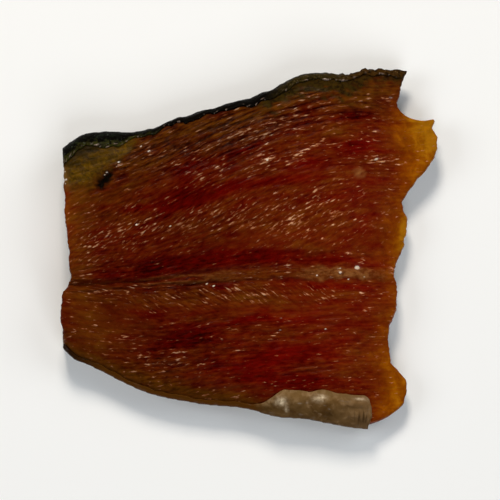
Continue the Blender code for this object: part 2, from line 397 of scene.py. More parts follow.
# %% [markdown]
# ## Fibres
#
# Salmon muscle is built of fine fibres, packed in bundles a millimetre or two wide. Above
# the midline they climb towards the back, and below it they run nearly level. A level
# value that stays the same along each fibre gives both the ridges and, later, the streaks
# of colour. Each bundle is round on top, with a sharp crease on either side, which is what
# the absolute value of a sine looks like.

# %% Level across the fibres
BACK_RISE = [(-32, -7.6), (-20, -4.2), (-8, 0), (4, 4.2), (14, 6.6), (24, 7.8), (33, 8.4)]
BELLY_RISE = [(-32, 1.8), (-20, 0.2), (-8, -0.2), (4, 0.3), (14, 1), (33, 2.6)]
RISE_AT_MIDLINE = 0.35
RISE_RUN = 13.0


def fibre_level(x, from_midline):
    """A height across the fibres, which stays the same all along one fibre."""
    share = RISE_AT_MIDLINE + (1 - RISE_AT_MIDLINE) * ease(from_midline / RISE_RUN)
    above = share * curve_through(BACK_RISE, x)
    return from_midline - np.where(from_midline > 0, above, curve_through(BELLY_RISE, x))


# %% Ridges of the fibres
BUNDLE = 1.35
STRAND = 0.60
BUNDLE_HEIGHT = 0.15
STRAND_HEIGHT = 0.045
DASH_HEIGHT = 0.035
DRIFT = [(1, 0.85, 10, 3.4), (2, 0.25, 4, 1.3)]
BUNDLE_SHARE = 0.60
BUNDLE_CHANGE = [(3, 0.75, 5, 1.9)]
STRAND_WANDER = [(4, 0.5, 3.2, 0.9)]
STRAND_SHARE = 0.50
STRAND_CHANGE = [(5, 0.9, 2.6, 0.8)]
DASHES = [(51, 1.0, 1.5, 0.36), (52, 0.7, 0.8, 0.30)]
LUMPS = [(6, 0.08, 2.2, 0.9), (7, 0.16, 6.5, 3.2)]


def creased(phase):
    """Round ridges between sharp creases, from 0 in the crease to 1 on the ridge."""
    return np.abs(np.sin(math.pi * phase))


def drifted(x, level):
    """The level with the slow wander that keeps the bundles from looking ruled."""
    return level + uneven(DRIFT, x, level)


def fibre_ridges(x, level):
    """Relief of the bundles, strands, dashes and lumps, in millimetres."""
    drift = drifted(x, level)
    bundles = creased(drift / BUNDLE) * (BUNDLE_SHARE + uneven(BUNDLE_CHANGE, x, drift))
    strands = creased(drift / STRAND + uneven(STRAND_WANDER, x, drift))
    strands = strands * (STRAND_SHARE + uneven(STRAND_CHANGE, x, drift))
    dashes = uneven(DASHES, x, drift)
    ridges = BUNDLE_HEIGHT * bundles + STRAND_HEIGHT * strands + DASH_HEIGHT * dashes
    return ridges + uneven(LUMPS, x, level)


# %% Slanting marks across the fibres
# Windows: (start, rise, end, fall), along the piece or away from the midline.
MARKS_BELOW = (-8.5, 4, -1.9, 1.2)
MARKS_BELOW_ALONG = (-24, 5, 20, 10)
MARKS_ABOVE = (2, 2, 20, 8)
MARKS_ABOVE_SHARE = 0.9
MARKS_END = (26, 8)
# Above the midline there are hardly any at this place.
PLAIN_PLACE = [(-6, 5.5, 8, 3, 0, 0.8)]
SLANT_BELOW = 0.62
SLANT_ABOVE = -0.60
MARK = 1.1
MARK_HEIGHT = 0.11
MARK_WANDER = [(8, 0.6, 3, 2)]
MARK_GRAIN = [(9, 0.05, 0.38, 1.3)]


def feather_share(x, from_midline):
    """Where slanting marks cross the fibres: below the midline, and at the right above it."""
    below = within(from_midline, *MARKS_BELOW) * within(x, *MARKS_BELOW_ALONG)
    above = MARKS_ABOVE_SHARE * within(from_midline, *MARKS_ABOVE)
    above = above * (1 - patched(0, PLAIN_PLACE, x, from_midline)) * fade(x, *MARKS_END)
    return np.clip(np.where(from_midline < 0, below, above), 0, 1)


def feather_level(x, from_midline):
    """A height across those slanting marks."""
    return from_midline + np.where(from_midline < 0, SLANT_BELOW, SLANT_ABOVE) * x


def feathers(x, from_midline):
    """Relief of the slanting marks, in millimetres."""
    across = feather_level(x, from_midline) + uneven(MARK_WANDER, x, from_midline)
    marks = MARK_HEIGHT * creased(across / MARK) + uneven(MARK_GRAIN, across, x + from_midline)
    return marks * feather_share(x, from_midline)


# %% [markdown]
# ## Midline
#
# At the left the two halves of the fillet meet in a dark, deep crease. From there a pale
# membrane comes up between them and runs to the right end as a wrinkled band.

# %% Midline crease and pale band
BAND_CENTRE = [
    (-32, -8.6), (-18, -7.3), (-10, -6.7), (-3, -6.15), (5, -5.8), (13, -5.75), (28, -5.6),
]
BAND_HALF = [(-32, 0.05), (-18, 0.15), (-10, 0.65), (-3, 0.9), (5, 0.85), (13, 1), (28, 0.95)]
CREASE_DEPTH = [(-32, 1.3), (-22, 0.95), (-14, 0.6), (-5, 0.45), (8, 0.35), (28, 0.25)]
# How pale the band is, and how much of the flesh it hides.
BAND_PALE = [
    (-20, 0.25), (-16, 0.3), (-11, 0.35), (-5, 0.2), (0, 0), (7, 0), (10, 0.4), (13, 0.7),
    (18, 0.95), (21, 0.8), (24, 0.3), (28, 0),
]
BAND_COVER = [
    (-20, 0.5), (-12, 0.6), (-6, 0.8), (-1, 0.6), (3, 0.35), (7, 0.4), (10, 0.7), (13, 0.85),
    (20, 0.85), (22.5, 0.55), (25, 0.1), (28, 0),
]
BAND_SOFT_EDGE = 0.7
BAND_HEIGHT = 0.22
BAND_END = (26, 2)
# At the left the band is parted into two thin strands, this far from its middle.
PARTED_END = (-6, 3)
STRAND_APART = 0.52
STRAND_HALF = 0.20
CREASE_HALF = 0.42
# A second, lower crease at the foot of the band.
LOWER_CREASE = 0.36
LOWER_CREASE_AWAY = 0.25
LOWER_CREASE_HALF = 0.3
LOWER_CREASE_STRETCH = (-16, 4, 6, 12)
BAND_WANDER = [(13, 0.22, 2.4)]
BAND_WIDTHS = [(14, 0.45, 1.6)]
STRAND_PLACES = [(55, 0.4, 2.2)]
CREASE_WANDER = [(15, 0.12, 2.0)]
BAND_WRINKLES = [(16, 0.10, 0.8, 0.5), (17, 0.08, 0.45, 0.9)]


def band_share(x, y):
    """1 on the pale band and 0 beside it, with a wandering edge."""
    away = np.abs(y - curve_through(BAND_CENTRE, x) - uneven(BAND_WANDER, x))
    half = curve_through(BAND_HALF, x) * (1 + uneven(BAND_WIDTHS, x))
    whole = ease((half + BAND_SOFT_EDGE / 2 - away) / BAND_SOFT_EDGE)
    apart = STRAND_APART * (1 + uneven(STRAND_PLACES, x))
    strands = bump(away - apart, 0, STRAND_HALF, 1)
    parted = fade(x, *PARTED_END)
    return (whole * (1 - parted) + strands * parted) * fade(x, *BAND_END)


def midline_relief(x, y):
    """Crease and pale band, in millimetres."""
    top = curve_through(MIDLINE, x) + uneven(CREASE_WANDER, x)
    crease = -curve_through(CREASE_DEPTH, x) * bump(y - top, 0, CREASE_HALF, 1)
    foot = curve_through(BAND_CENTRE, x) - curve_through(BAND_HALF, x) - LOWER_CREASE_AWAY
    lower = LOWER_CREASE * bump(y - foot, 0, LOWER_CREASE_HALF, 1)
    lower = lower * within(x, *LOWER_CREASE_STRETCH)
    return crease - lower + band_share(x, y) * (BAND_HEIGHT + uneven(BAND_WRINKLES, x, y))


# %% [markdown]
# ## The whole relief of the upper side
#
# Ridges, midline, broad swells, beads of oil and the small dark pit near the fat corner are
# added up. Near the rims and in the thin margin the ridges die away.

# %% Pit, beads and swells, in millimetres
PIT_FROM = np.array((-25.0, 9.4))
PIT_TO = np.array((-23.7, 11.1))
PIT_DEPTH = 0.9
PIT_HALF = 0.78
PIT_RIM = [(18, 0.6, 0.5, 0.5)]
# Wet beads of oil: (x, y, radius, height).
BEADS = [
    (18.6, -4.7, 0.46, 0.3), (15.7, -5.7, 0.28, 0.24), (15.6, -5, 0.2, 0.18),
    (14.2, -6.4, 0.16, 0.1), (11.8, -6.2, 0.17, 0.12), (9.6, -6.3, 0.15, 0.1),
    (17, -6.8, 0.17, 0.1), (19.9, -6.2, 0.17, 0.1), (-6.9, -7.6, 0.2, 0.14),
    (-5.8, -8, 0.24, 0.16), (-23.9, 11.7, 0.2, 0.16), (-21.9, 13.4, 0.13, 0.12),
    (-22.4, 12.6, 0.11, 0.1), (-21.5, 12.8, 0.14, 0.1), (22.1, 19.4, 0.26, 0.12),
    (22, 14.5, 0.26, 0.12), (3.4, 13.6, 0.24, 0.1), (-18.9, 2.4, 0.2, 0.1),
    (5.6, -15.4, 0.18, 0.1), (5.6, -13.4, 0.18, 0.1), (13.1, -15.3, 0.18, 0.1),
    (-13.2, 2.1, 0.2, 0.1), (24.6, 25.8, 0.2, 0.1), (-18.2, 16.3, 0.15, 0.1),
    (-16.8, 15.4, 0.13, 0.08), (-22.2, 13.9, 0.12, 0.08), (-24.3, 11.2, 0.12, 0.12),
    (-31, 9.5, 0.14, 0.05), (-30.9, 10.2, 0.22, 0.08), (-31.1, 11.6, 0.15, 0.05),
]
BEAD_SQUASH = 0.8
PEARL_PLACE = (19.1, 11.8)
PEARL_RADIUS = 1.3
PEARL_SOFT_EDGE = 0.8
PEARL_HEIGHT = 0.3
PEARL_SHARE = 0.65
PEARL_LEAST = 0.15
PEARL_GRAIN = [(59, 0.9, 0.7, 0.6)]
SWELLS = [
    (-24, -1, 7, 7, 0, -0.5), (-6, 10, 10, 10, 0, 0.5), (8, -14, 8, 8, 0, -0.45),
    (17, 16, 7, 7, 0, -0.4), (-14, -17, 6, 6, 0, 0.35),
]


def pit_share(x, y):
    """1 in the middle of the pit and 0 away from it."""
    along = PIT_TO - PIT_FROM
    share = ((x - PIT_FROM[0]) * along[0] + (y - PIT_FROM[1]) * along[1]) / (along @ along)
    share = np.clip(share, 0, 1)
    away = np.hypot(x - PIT_FROM[0] - share * along[0], y - PIT_FROM[1] - share * along[1])
    return bump(away, 0, PIT_HALF * (1 + uneven(PIT_RIM, x, y)), 1)


def beads(x, y):
    """The mask of the beads, 1 in the middle of each, and their relief."""
    share, relief = np.zeros_like(x), 0.0
    for at_x, at_y, radius, height in BEADS:
        bead = bump(x - at_x, y - at_y, radius, radius * BEAD_SQUASH)
        share = np.maximum(share, bead)
        relief = relief + height * bead
    return share, relief


def pearl(x, y):
    """The pale, grainy round bead of fat near the right end."""
    away = np.hypot(x - PEARL_PLACE[0], y - PEARL_PLACE[1])
    grain = np.clip(PEARL_SHARE + uneven(PEARL_GRAIN, x, y), PEARL_LEAST, 1)
    return ease((PEARL_RADIUS - away) / PEARL_SOFT_EDGE) * grain


# %% Relief of the upper side, in millimetres
CALM_SHARE = 0.30
CALM_CORNER = [(-26, -14, 10, 7, 0, 0.5)]
# How far in from the rims, and from the ragged end, the ridges reach their full height.
CALM_RIM = 3
CALM_SKIN = 0.8
CALM_END = (0.5, 6)
RIDGES_IN_MARKS = 0.55
RIDGES_IN_MARGIN = 0.25
RIDGES_OFF_MIDLINE = (0.1, 1.2)
MEAN_RIDGE = 0.12
SWELLS_RIM = 5.5
MIDLINE_END = (0.4, 3)


def surface_relief(x, y, edges):
    """Everything that stands up or sinks in on the upper side, the fibres, and their level."""
    right, belly, back = edges[1:]
    from_midline = y - curve_through(MIDLINE, x)
    level = fibre_level(x, from_midline)
    inside = ease(np.minimum(belly, back - CALM_SKIN) / CALM_RIM) * grow(right, *CALM_END)
    calm = CALM_SHARE + (1 - CALM_SHARE) * inside
    calm = calm * (1 - (1 - RIDGES_IN_MARGIN) * thinness(x, y))
    calm = calm * (1 - patched(0, CALM_CORNER, x, y))
    kept = 1 - RIDGES_IN_MARKS * feather_share(x, from_midline)
    fibres = (fibre_ridges(x, level) - MEAN_RIDGE) * kept + feathers(x, from_midline)
    fibres = fibres * calm * grow(np.abs(from_midline), *RIDGES_OFF_MIDLINE)
    swells = patched(0, SWELLS, x, y) * ease(np.minimum(belly, back) / SWELLS_RIM)
    middle = midline_relief(x, y) * grow(right, *MIDLINE_END)
    small = beads(x, y)[1] + PEARL_HEIGHT * pearl(x, y) - PIT_DEPTH * pit_share(x, y)
    return fibres + swells * ease(right / THIN_RUN) + middle + small, fibres, level


# %% [markdown]
# ## Modelling the flesh
#
# The flesh starts as a flat grid that is extruded into a block, because a block has a
# square net of faces all over: fine on top, where the fibres are, and rows down its sides.
# The lower side hides on the skin, so most of its grid lines are dissolved again.

# %% Helpers for a mesh
def start_piece(name):
    """The active object, with its mesh, under its own name."""
    piece = bpy.context.object
    piece.name = piece.data.name = name
    return piece


def read_all(items, name, width, kind=float):
    """One value of every item of a mesh, such as each vertex's place, one row for each."""
    values = np.empty(len(items) * width, kind)
    items.foreach_get(name, values)
    return values.reshape(-1, width)


def vertex_places(mesh):
    """The places of a mesh's vertices."""
    return read_all(mesh.vertices, "co", 3)


def place_vertices(piece, places):
    """Moves every vertex to its place, given in millimetres."""
    piece.data.vertices.foreach_set("co", (places * MM).astype(np.float32).ravel())
    piece.data.update()


def grid_lines(places, along, across):
    """The column and the row of each vertex of a grid that is 2 wide and 2 high."""
    column = np.rint((places[:, 0] + 1) / 2 * along).astype(int)
    return column, np.rint((places[:, 1] + 1) / 2 * across).astype(int)


def select_edges(piece, chosen):
    """Leaves the piece in edit mode with just these edges selected."""
    bpy.ops.object.mode_set(mode="OBJECT")
    mesh = piece.data
    mesh.vertices.foreach_set("select", np.zeros(len(mesh.vertices), bool))
    mesh.polygons.foreach_set("select", np.zeros(len(mesh.polygons), bool))
    mesh.edges.foreach_set("select", chosen)
    bpy.ops.object.mode_set(mode="EDIT")


def triangles(mesh):
    """How many triangles the mesh makes."""
    return sum(len(face.vertices) - 2 for face in mesh.polygons)


# %% Grid, block and wall rows
ALONG = 180
ACROSS = 380
WALL_ROWS = 13

bpy.ops.object.select_all(action="DESELECT")
bpy.ops.mesh.primitive_grid_add(x_subdivisions=ALONG, y_subdivisions=ACROSS, size=2)
flesh = start_piece("salmon_flesh")
bpy.ops.object.mode_set(mode="EDIT")
bpy.ops.mesh.select_mode(type="EDGE")
bpy.ops.mesh.select_all(action="SELECT")
bpy.ops.mesh.extrude_region_move(TRANSFORM_OT_translate={"value": (0, 0, 1)})
bpy.ops.object.mode_set(mode="OBJECT")

ends = read_all(flesh.data.edges, "vertices", 2, int)
heights = vertex_places(flesh.data)[ends, 2]
upright = np.rint(heights[:, 0]) != np.rint(heights[:, 1])
select_edges(flesh, upright)
bpy.ops.mesh.subdivide(number_cuts=WALL_ROWS - 1)
bpy.ops.object.mode_set(mode="OBJECT")
print("flesh block:", len(flesh.data.polygons), "faces,", int(upright.sum()), "upright edges")

# %% Thin out the lower side
LOWER_EVERY = 5
ON_THE_FLOOR = 0.01

places = vertex_places(flesh.data)
column, row = grid_lines(places, ALONG, ACROSS)
first, last = read_all(flesh.data.edges, "vertices", 2, int).T
below = (places[first, 2] < ON_THE_FLOOR) & (places[last, 2] < ON_THE_FLOOR)
same_column = column[first] == column[last]
line = np.where(same_column, column[first], row[first])
rim = (line == 0) | (line == np.where(same_column, ALONG, ACROSS))
select_edges(flesh, below & ~rim & (line % LOWER_EVERY != 0))
bpy.ops.mesh.dissolve_edges(use_verts=True)
bpy.ops.mesh.select_all(action="SELECT")
bpy.ops.mesh.normals_make_consistent(inside=False)
bpy.ops.object.mode_set(mode="OBJECT")
print("after thinning:", len(flesh.data.polygons), "faces")

# %% [markdown]
# Now every vertex of the block has a share of the length, the width and the height, and it
# moves to its place on the piece. Grid lines are gathered at the rims, where the surface
# turns fastest. The cut on the left bows in a little, as the flesh shrinks more than its
# skin, and the thin edge on the right is rounded.

# %% Gather the grid lines
RIM_LINES = 9
WIDTH = 50


def gathered(share, lines, first_radius, last_radius, length):
    """Moves evenly spaced lines so that each rolled rim is turned in RIM_LINES steps."""
    turn = 1 - np.cos(np.linspace(0, math.pi / 2, RIM_LINES + 1))
    first = turn * first_radius / length
    last = 1 - turn[::-1] * last_radius / length
    middle = np.linspace(first[-1], last[0], lines - 2 * RIM_LINES + 1)[1:-1]
    return np.interp(share, np.linspace(0, 1, lines + 1), np.concatenate([first, middle, last]))


# %% Lay the flesh in place
RIM_WALL = 0.25
CUT_BOW = 0.5
CUT_DEPTH = 0.9
CUT_LUMPS = [(21, 0.20, 1.6, 1.3), (22, 0.12, 0.7, 0.5)]
CUT_WAVES = [(23, 0.12, 2.5)]
THIN_BULGE = 0.1
THIN_BULGE_DEPTH = 0.4
# The spike's tip is drawn towards the back.
TIP_PLACE = SPIKE_PLACE + 0.2
TIP_PULL = 0.9
TIP_HALF = 0.8
TIP_FROM = 29.6
TIP_RUN = 2.4

places = vertex_places(flesh.data)
u = gathered((places[:, 0] + 1) / 2, ALONG, CUT_ROLL, THIN_EDGE_ROLL, RIGHT_X - LEFT_X)
v = gathered((places[:, 1] + 1) / 2, ACROSS, BELLY_ROLL / 3, BACK_ROLL / 3, WIDTH)
w = places[:, 2]
x, y, edges = plan(u, v)
relief, fibres, level = surface_relief(x, y, edges)
low, high = flesh_heights(x, y, v, edges, relief)
left, right, belly, back = edges
drop = CUT_ROLL * (1 - rolled(left, CUT_ROLL))
drop = drop + 0.5 * THIN_EDGE_ROLL * (1 - rolled(right, THIN_EDGE_ROLL))
top = np.maximum(high - drop, low + RIM_WALL)
z = low + (top - low) * w

middle_rows = np.sin(math.pi * w)
bite = CUT_BOW * middle_rows + uneven(CUT_LUMPS, y, z) + uneven(CUT_WAVES, y)
x = x + bump(left, 0, CUT_DEPTH, 1) * bite
x = x + THIN_BULGE * middle_rows * bump(right, 0, THIN_BULGE_DEPTH, 1)
tip = bump(y - TIP_PLACE, 0, TIP_HALF, 1) * np.clip((x - TIP_FROM) / TIP_RUN, 0, 1) ** 2
y = y + TIP_PULL * tip

place_vertices(flesh, np.stack([x - PLAN_CENTRE[0], y - PLAN_CENTRE[1], z], axis=-1))
flesh.data.shade_smooth()
places = vertex_places(flesh.data)
print("flesh box:", places.min(0).round(4), places.max(0).round(4))
print("flesh triangles:", triangles(flesh.data))

# %% [markdown]
# ## Zones of the flesh
#
# The colour depends on how thick and how fat the flesh is. That is worked out here once for
# each vertex and stored in attributes, which the material reads: `tone` runs from the deep
# red core to amber and olive, `margin` is the thin yellow end and `glow` the painted glow of
# its rims, `bright` says how much light comes back, and the others mark the fat corner, the
# pale band, the pit, the crests of the fibres, the dry tips and painted glints, and the
# painted shade beside the skin.

# %% Tone
BASE_TONE = 0.47
# Patches that are yellower or redder: (x, y, half length, half width, slope, how much).
TONE_PATCHES = [
    (-19, 5.3, 6, 0.7, 0, -0.36), (-10.5, 6.3, 4.6, 1.6, 0.36, -0.62),
    (-3, 8.3, 4, 1.1, 0.25, -0.52), (5, 10.1, 6, 0.9, 0.1, -0.5), (9, 13, 3.4, 0.8, 0.28, -0.34),
    (-10.2, 12.3, 1.8, 1.4, 0.4, -0.42), (-1.5, 15.2, 4, 0.5, 0.36, -0.42),
    (-6, 17.2, 5, 0.4, 0.36, -0.2), (4, 20.4, 6, 0.4, 0.34, -0.25),
    (18.7, 16.2, 3, 1.3, 0.3, -0.55), (19.2, 21.7, 3.2, 0.9, 0.15, -0.55),
    (20, 26.5, 8, 2.6, 0.06, 0.52), (6, 25, 8, 1.8, 0.32, 0.4), (-8, 20, 9, 1.6, 0.33, 0.38),
    (20, 10, 3.5, 0.8, 0.1, -0.22), (-20, -6, 7, 1, 0.06, -0.36),
    (-10, -4.4, 6.5, 1.3, 0.09, -0.6), (0, -3, 7.5, 1.5, 0.02, -0.66),
    (14, -3.4, 8, 0.6, 0, -0.28), (-24.5, 3.5, 5, 2.2, 0.1, 0.18), (-8, 2.1, 9, 1.2, 0.04, 0.08),
    (-25, 0.5, 3, 3, 0.1, -0.16), (-20, 12.5, 2.6, 3.2, 0, 0.2), (6, 14.8, 4, 1.8, 0.3, -0.12),
    (10, 5.8, 5, 1.6, 0.1, -0.14), (-1, 19.5, 10, 2, 0.36, 0.3), (-14, 14, 7, 1.8, 0.33, 0.24),
    (9, 15.8, 5, 1.2, 0.5, 0.16), (10, 4, 9, 2.6, 0.05, 0.08), (-28.8, 1, 2.4, 9, 0, 0.26),
    (-12, -9.8, 13, 1.7, 0.03, 0.2), (0, -9, 4, 2.6, 0, 0.14), (-4.6, -8.1, 1.6, 0.6, 0, -0.6),
    (13, -7.9, 9, 0.8, 0, -0.4), (13, -10.4, 9, 1.2, 0, 0.1), (-27, 8.6, 6, 1.8, 0.62, 0.36),
    (-27.5, -14, 6, 7, -0.2, 0.3), (-16.5, -13, 4, 0.9, -0.16, -0.36),
    (-10.5, -16.9, 4.6, 1.7, 0.14, -0.66), (-1.5, -14, 5, 0.5, 0.16, -0.46),
    (4.5, -13.6, 6, 0.5, -0.05, -0.4), (5.5, -16.7, 6, 0.9, 0.1, 0.16),
    (5.5, -20, 6.6, 1.9, 0.22, -0.56), (-3, -21.5, 5, 1.7, -0.1, -0.4),
    (7, -24.3, 7.5, 1.3, -0.02, -0.62), (-14, -20.4, 6, 1, -0.12, 0.12),
    (-15, -24, 8, 1.3, -0.26, 0.38), (-3, -26.8, 7, 0.9, -0.12, 0.16),
    (19.5, -18.5, 3, 2.4, 0, 0.1), (-9.5, 9.6, 5.5, 3.6, 0.35, -0.26),
    (-16.5, -3.6, 5.5, 1.6, 0.12, -0.3), (-19, 0.5, 5, 1.6, 0.1, -0.16),
    (14.8, -20, 3, 1.6, 0, -0.22), (-3.2, -15, 3, 1.2, 0, -0.18), (-21, 8, 2.4, 1.6, 0.3, 0.2),
    (16, 18.2, 3, 1.4, 0.2, 0.26), (12, -12, 9, 2.4, 0, -0.1), (20, 2, 4, 8, 0, -0.1),
    (17, -16, 5, 3, 0, -0.03), (-21.4, 10.8, 1.8, 1, 0.4, -0.32), (-15, 18.8, 6, 1.2, 0.28, 0.35),
    (20, 23.5, 4, 1.2, 0.1, 0.22), (-1, -18.2, 4, 1.3, 0, -0.16), (9.5, -0.6, 3.5, 1.2, 0, 0.26),
]
TONE_NOISE = [(31, 0.10, 7, 3), (32, 0.08, 3, 1.2)]
BELLY_YELLOW = 0.45
BELLY_YELLOW_REACH = 1.6
BELLY_YELLOW_END = (4, 4)
TONE_IN_MARGIN = 0.3
# Where the thin yellow margin begins at the ragged end: (place from belly to back, x).
MARGIN_START = [
    (-31, 21.4), (-24, 21.9), (-19, 22.1), (-14, 23.3), (-9, 23.9), (-5, 23.9), (0, 24), (5, 25),
    (10, 26.2), (14, 26.6), (19, 25), (23, 26), (28, 27.6),
]
MARGIN_RUN = 7.8
MARGIN_WANDER = [(34, 0.9, 2.5)]
MARGIN_FRINGE = [(35, 1.1, 4, 0.9)]


def margin_share(x, y):
    """1 in the thin yellow margin of the ragged end."""
    start = curve_through(MARGIN_START, y) - MARGIN_RUN * 0.5
    start = start + uneven(MARGIN_WANDER, y) + uneven(MARGIN_FRINGE, x, y)
    return ease((x - start) / MARGIN_RUN)


def flesh_tone(x, y):
    """How yellow the flesh is, from 0 for the deep red core to 1 for olive."""
    tone = patched(np.full_like(x, BASE_TONE), TONE_PATCHES, x, y) + uneven(TONE_NOISE, x, y)
    inward = y - curve_through(BELLY_EDGE, x)
    strip = fade(inward, BELLY_YELLOW_REACH, BELLY_YELLOW_REACH)
    tone = tone + BELLY_YELLOW * strip * fade(x, *BELLY_YELLOW_END)
    return tone + TONE_IN_MARGIN * margin_share(x, y)


# %% Soft streaks and the painted glow of the rims
# Where the streaks are soft: (x, y, half length, half width, how much).
SOFT_PATCHES = [
    (-25, -14, 10, 6.5, 1), (-28, 4, 5, 7, 0.7), (-2, -26.5, 12, 2.5, 0.6), (19, 26, 7, 3.5, 0.3),
    (4, 1, 20, 2, 0.4), (12, -13, 10, 4, 0.5),
]
GLOW_DEPTH = 5.4
GLOW_STRETCH = (14.5, 4, 24, 3)
SMALL_GLOW = 0.8
SMALL_GLOW_DEPTH = 2.2
SMALL_GLOW_PLACE = 2.5
SMALL_GLOW_HALF = 4.2


def softness(x, y):
    """Where the streaks are soft, from 0 to 1."""
    soft = np.zeros_like(x)
    for at_x, at_y, half_length, half_width, share in SOFT_PATCHES:
        soft = np.maximum(soft, share * bump(x - at_x, y - at_y, half_length, half_width))
    return soft


def painted_glow_share(right, y):
    """How near a place is to the rims of the lobes, where a glow of light shining through is
    painted.
    """
    big_lobe = fade(right, GLOW_DEPTH, GLOW_DEPTH) * within(y, *GLOW_STRETCH)
    small_lobe = SMALL_GLOW * fade(right, SMALL_GLOW_DEPTH, SMALL_GLOW_DEPTH)
    return np.maximum(big_lobe, small_lobe * bump(y - SMALL_GLOW_PLACE, 0, SMALL_GLOW_HALF, 1))


# %% Where light gets through
# Brightness along the piece, and patches that are brighter or darker than it.
BRIGHTNESS = [
    (-31, 0.94), (-22, 0.84), (-10, 0.84), (0, 0.98), (10, 1.15), (20, 1.42), (26, 1.46),
]
BRIGHT_PATCHES = [
    (-15, -4.6, 10, 1.8, 0.09, -0.24), (0, -3, 7, 1.5, 0.02, -0.1),
    (-10.5, 6.3, 5, 1.8, 0.34, -0.12), (-29.8, 2, 1.6, 9, 0, 0.3), (-9, -16.9, 6, 2, 0.12, -0.16),
    (-12, -24, 9, 2, -0.14, 0.05), (6, -24.3, 7, 1.6, 0, -0.12),
    (19.2, 21.7, 4, 1.4, 0.15, -0.45), (22, 25.5, 6, 2.5, 0, -0.16), (8, 26, 9, 1.8, 0.1, -0.3),
    (25.5, -25, 3, 4, 0, -0.14), (23, -28.8, 2.5, 1.6, 0, -0.26), (-4, 20, 8, 2, 0.36, -0.1),
    (22, -23, 3.5, 4, 0, 0.06), (-26, -15, 6, 5, -0.2, 0.2), (7, -15, 8, 2.2, 0, 0.12),
    (5, -20.5, 8, 2.2, 0.2, 0.22), (-10, -16, 4, 1.2, 0.1, 0.12), (-4.6, -8.1, 1.6, 0.6, 0, -0.4),
    (-8.6, -7.6, 1, 0.5, 0, -0.3), (12, 7, 5, 1.4, 0.2, -0.1), (3, 17.7, 3, 1, 0.3, -0.14),
    (-25, 1.7, 2.6, 1.2, 0.2, -0.1), (-3.2, -15, 2.6, 1, 0, -0.1), (24, 16, 2.6, 1.2, 0, 0.16),
    (9, -16.5, 6, 1.6, 0, 0.1), (3, -12, 11, 1.5, 0, 0.24), (-1, -17, 6, 1.8, 0, 0.08),
    (5, 0.8, 8, 2, 0, 0.2), (0, 5.4, 4, 1.8, 0, 0.14), (2, 18, 10, 1.8, 0.3, -0.15),
    (-10.5, 14, 2.5, 1.6, 0.3, 0.22), (15.5, -24.6, 4, 1.4, 0, -0.14),
    (-27.5, -7.5, 2.4, 1.6, 0, -0.12), (11, -10, 12, 9, 0, 0.09), (9, 0.5, 5, 1.6, 0, 0.07),
    (9, -13, 11, 2, 0, 0.05), (-23, -20.4, 5, 2, -0.3, 0.12),
]
BRIGHT_NOISE = [(37, 0.08, 6, 2.5)]
DARK_AT_BACK = 0.24
DARK_REACH = (13, 7)
# Light comes through the upper rim of the cut, but not near the belly.
CUT_RIM_LIGHT = 0.45
CUT_RIM = (LEFT_X + 1.5, 0.9)
CUT_RIM_START = (-7, 3)


def brightness(x, y, back):
    """How bright the flesh is against its plain colour."""
    shade = DARK_AT_BACK * fade(back, *DARK_REACH)
    bright = patched(curve_through(BRIGHTNESS, x) * (1 - shade), BRIGHT_PATCHES, x, y)
    bright = bright + CUT_RIM_LIGHT * fade(x, *CUT_RIM) * grow(y, *CUT_RIM_START)
    return bright + uneven(BRIGHT_NOISE, x, y)


# %% Patches of dry fibre tips and painted glints
BASE_DRY_AND_GLINT = 0.34
# Patches where the fibre tips stand up dry and pale and glints are painted, or lie wet and dark.
DRY_TIP_AND_GLINT_PATCHES = [
    (9.5, 15.2, 4.6, 0.8, 0.6, 0.5), (3.6, 13.8, 1.4, 2, 0, 0.6), (-6, 11.6, 4, 1.4, 0.5, 0.45),
    (-14, 1.6, 9, 1.8, 0.1, 0.35), (-26, -1, 3.4, 3.5, 0.3, 0.35), (-19, 2.2, 2, 1.6, 0, 0.25),
    (-18, 15.6, 3, 1.2, 0.3, 0.5), (8, 3.4, 10, 3.2, 0.1, 0.38), (13, 9.5, 4, 2, 0.3, 0.08),
    (12, -12, 9, 3, 0, -0.18), (17, -18, 7, 5, 0, -0.14), (0, -12.5, 8, 1.4, 0, -0.16),
    (3, 19.5, 9, 1.6, 0.36, 0.46), (23, 14.4, 4, 0.6, 0, 0.55), (20, 25, 3.5, 1.2, 0, 0.48),
    (-14, -20.6, 6.5, 1.3, -0.12, 0.38), (-21.2, -16.9, 1.2, 0.6, 0, 0.6),
    (-18, -9.6, 6, 1.2, -0.06, 0.45), (-1, -9.6, 5, 1.8, 0, 0.4), (13, -10.2, 5, 1.2, 0, 0.35),
    (-11, -5, 9, 1, 0.08, -0.45), (0, -3.4, 7, 1, 0, -0.4), (-8, 6.6, 6, 1.2, 0.36, -0.45),
    (4, 10.1, 6, 0.9, 0.1, -0.35), (-10, -16.9, 5, 1.6, 0.12, -0.35), (4, -21, 8, 3.4, 0.1, -0.4),
    (-0.5, 11.6, 4, 1.3, 0.3, 0.35), (-12, 13, 5, 1.6, 0.4, 0.25), (-5, 3.2, 6, 2, 0.1, 0.32),
]
DRY_AND_GLINT_NOISE = [(36, 0.30, 3.5, 1.6)]
DRY_AND_GLINT_IN_MARGIN = 0.4
DRY_AND_GLINT_AT_BACK = 0.45
DRY_AND_GLINT_REACH = (6.5, 4)


def dry_tips_and_glints(x, y, back):
    """How many pale flecks there are, from 0 to 1: dry fibre tips and painted glints."""
    dry = patched(np.full_like(x, BASE_DRY_AND_GLINT), DRY_TIP_AND_GLINT_PATCHES, x, y) + uneven(DRY_AND_GLINT_NOISE, x, y)
    dry = np.clip(dry, 0, 1) * (1 - (1 - DRY_AND_GLINT_IN_MARGIN) * margin_share(x, y))
    return dry * (1 - (1 - DRY_AND_GLINT_AT_BACK) * fade(back, *DRY_AND_GLINT_REACH))
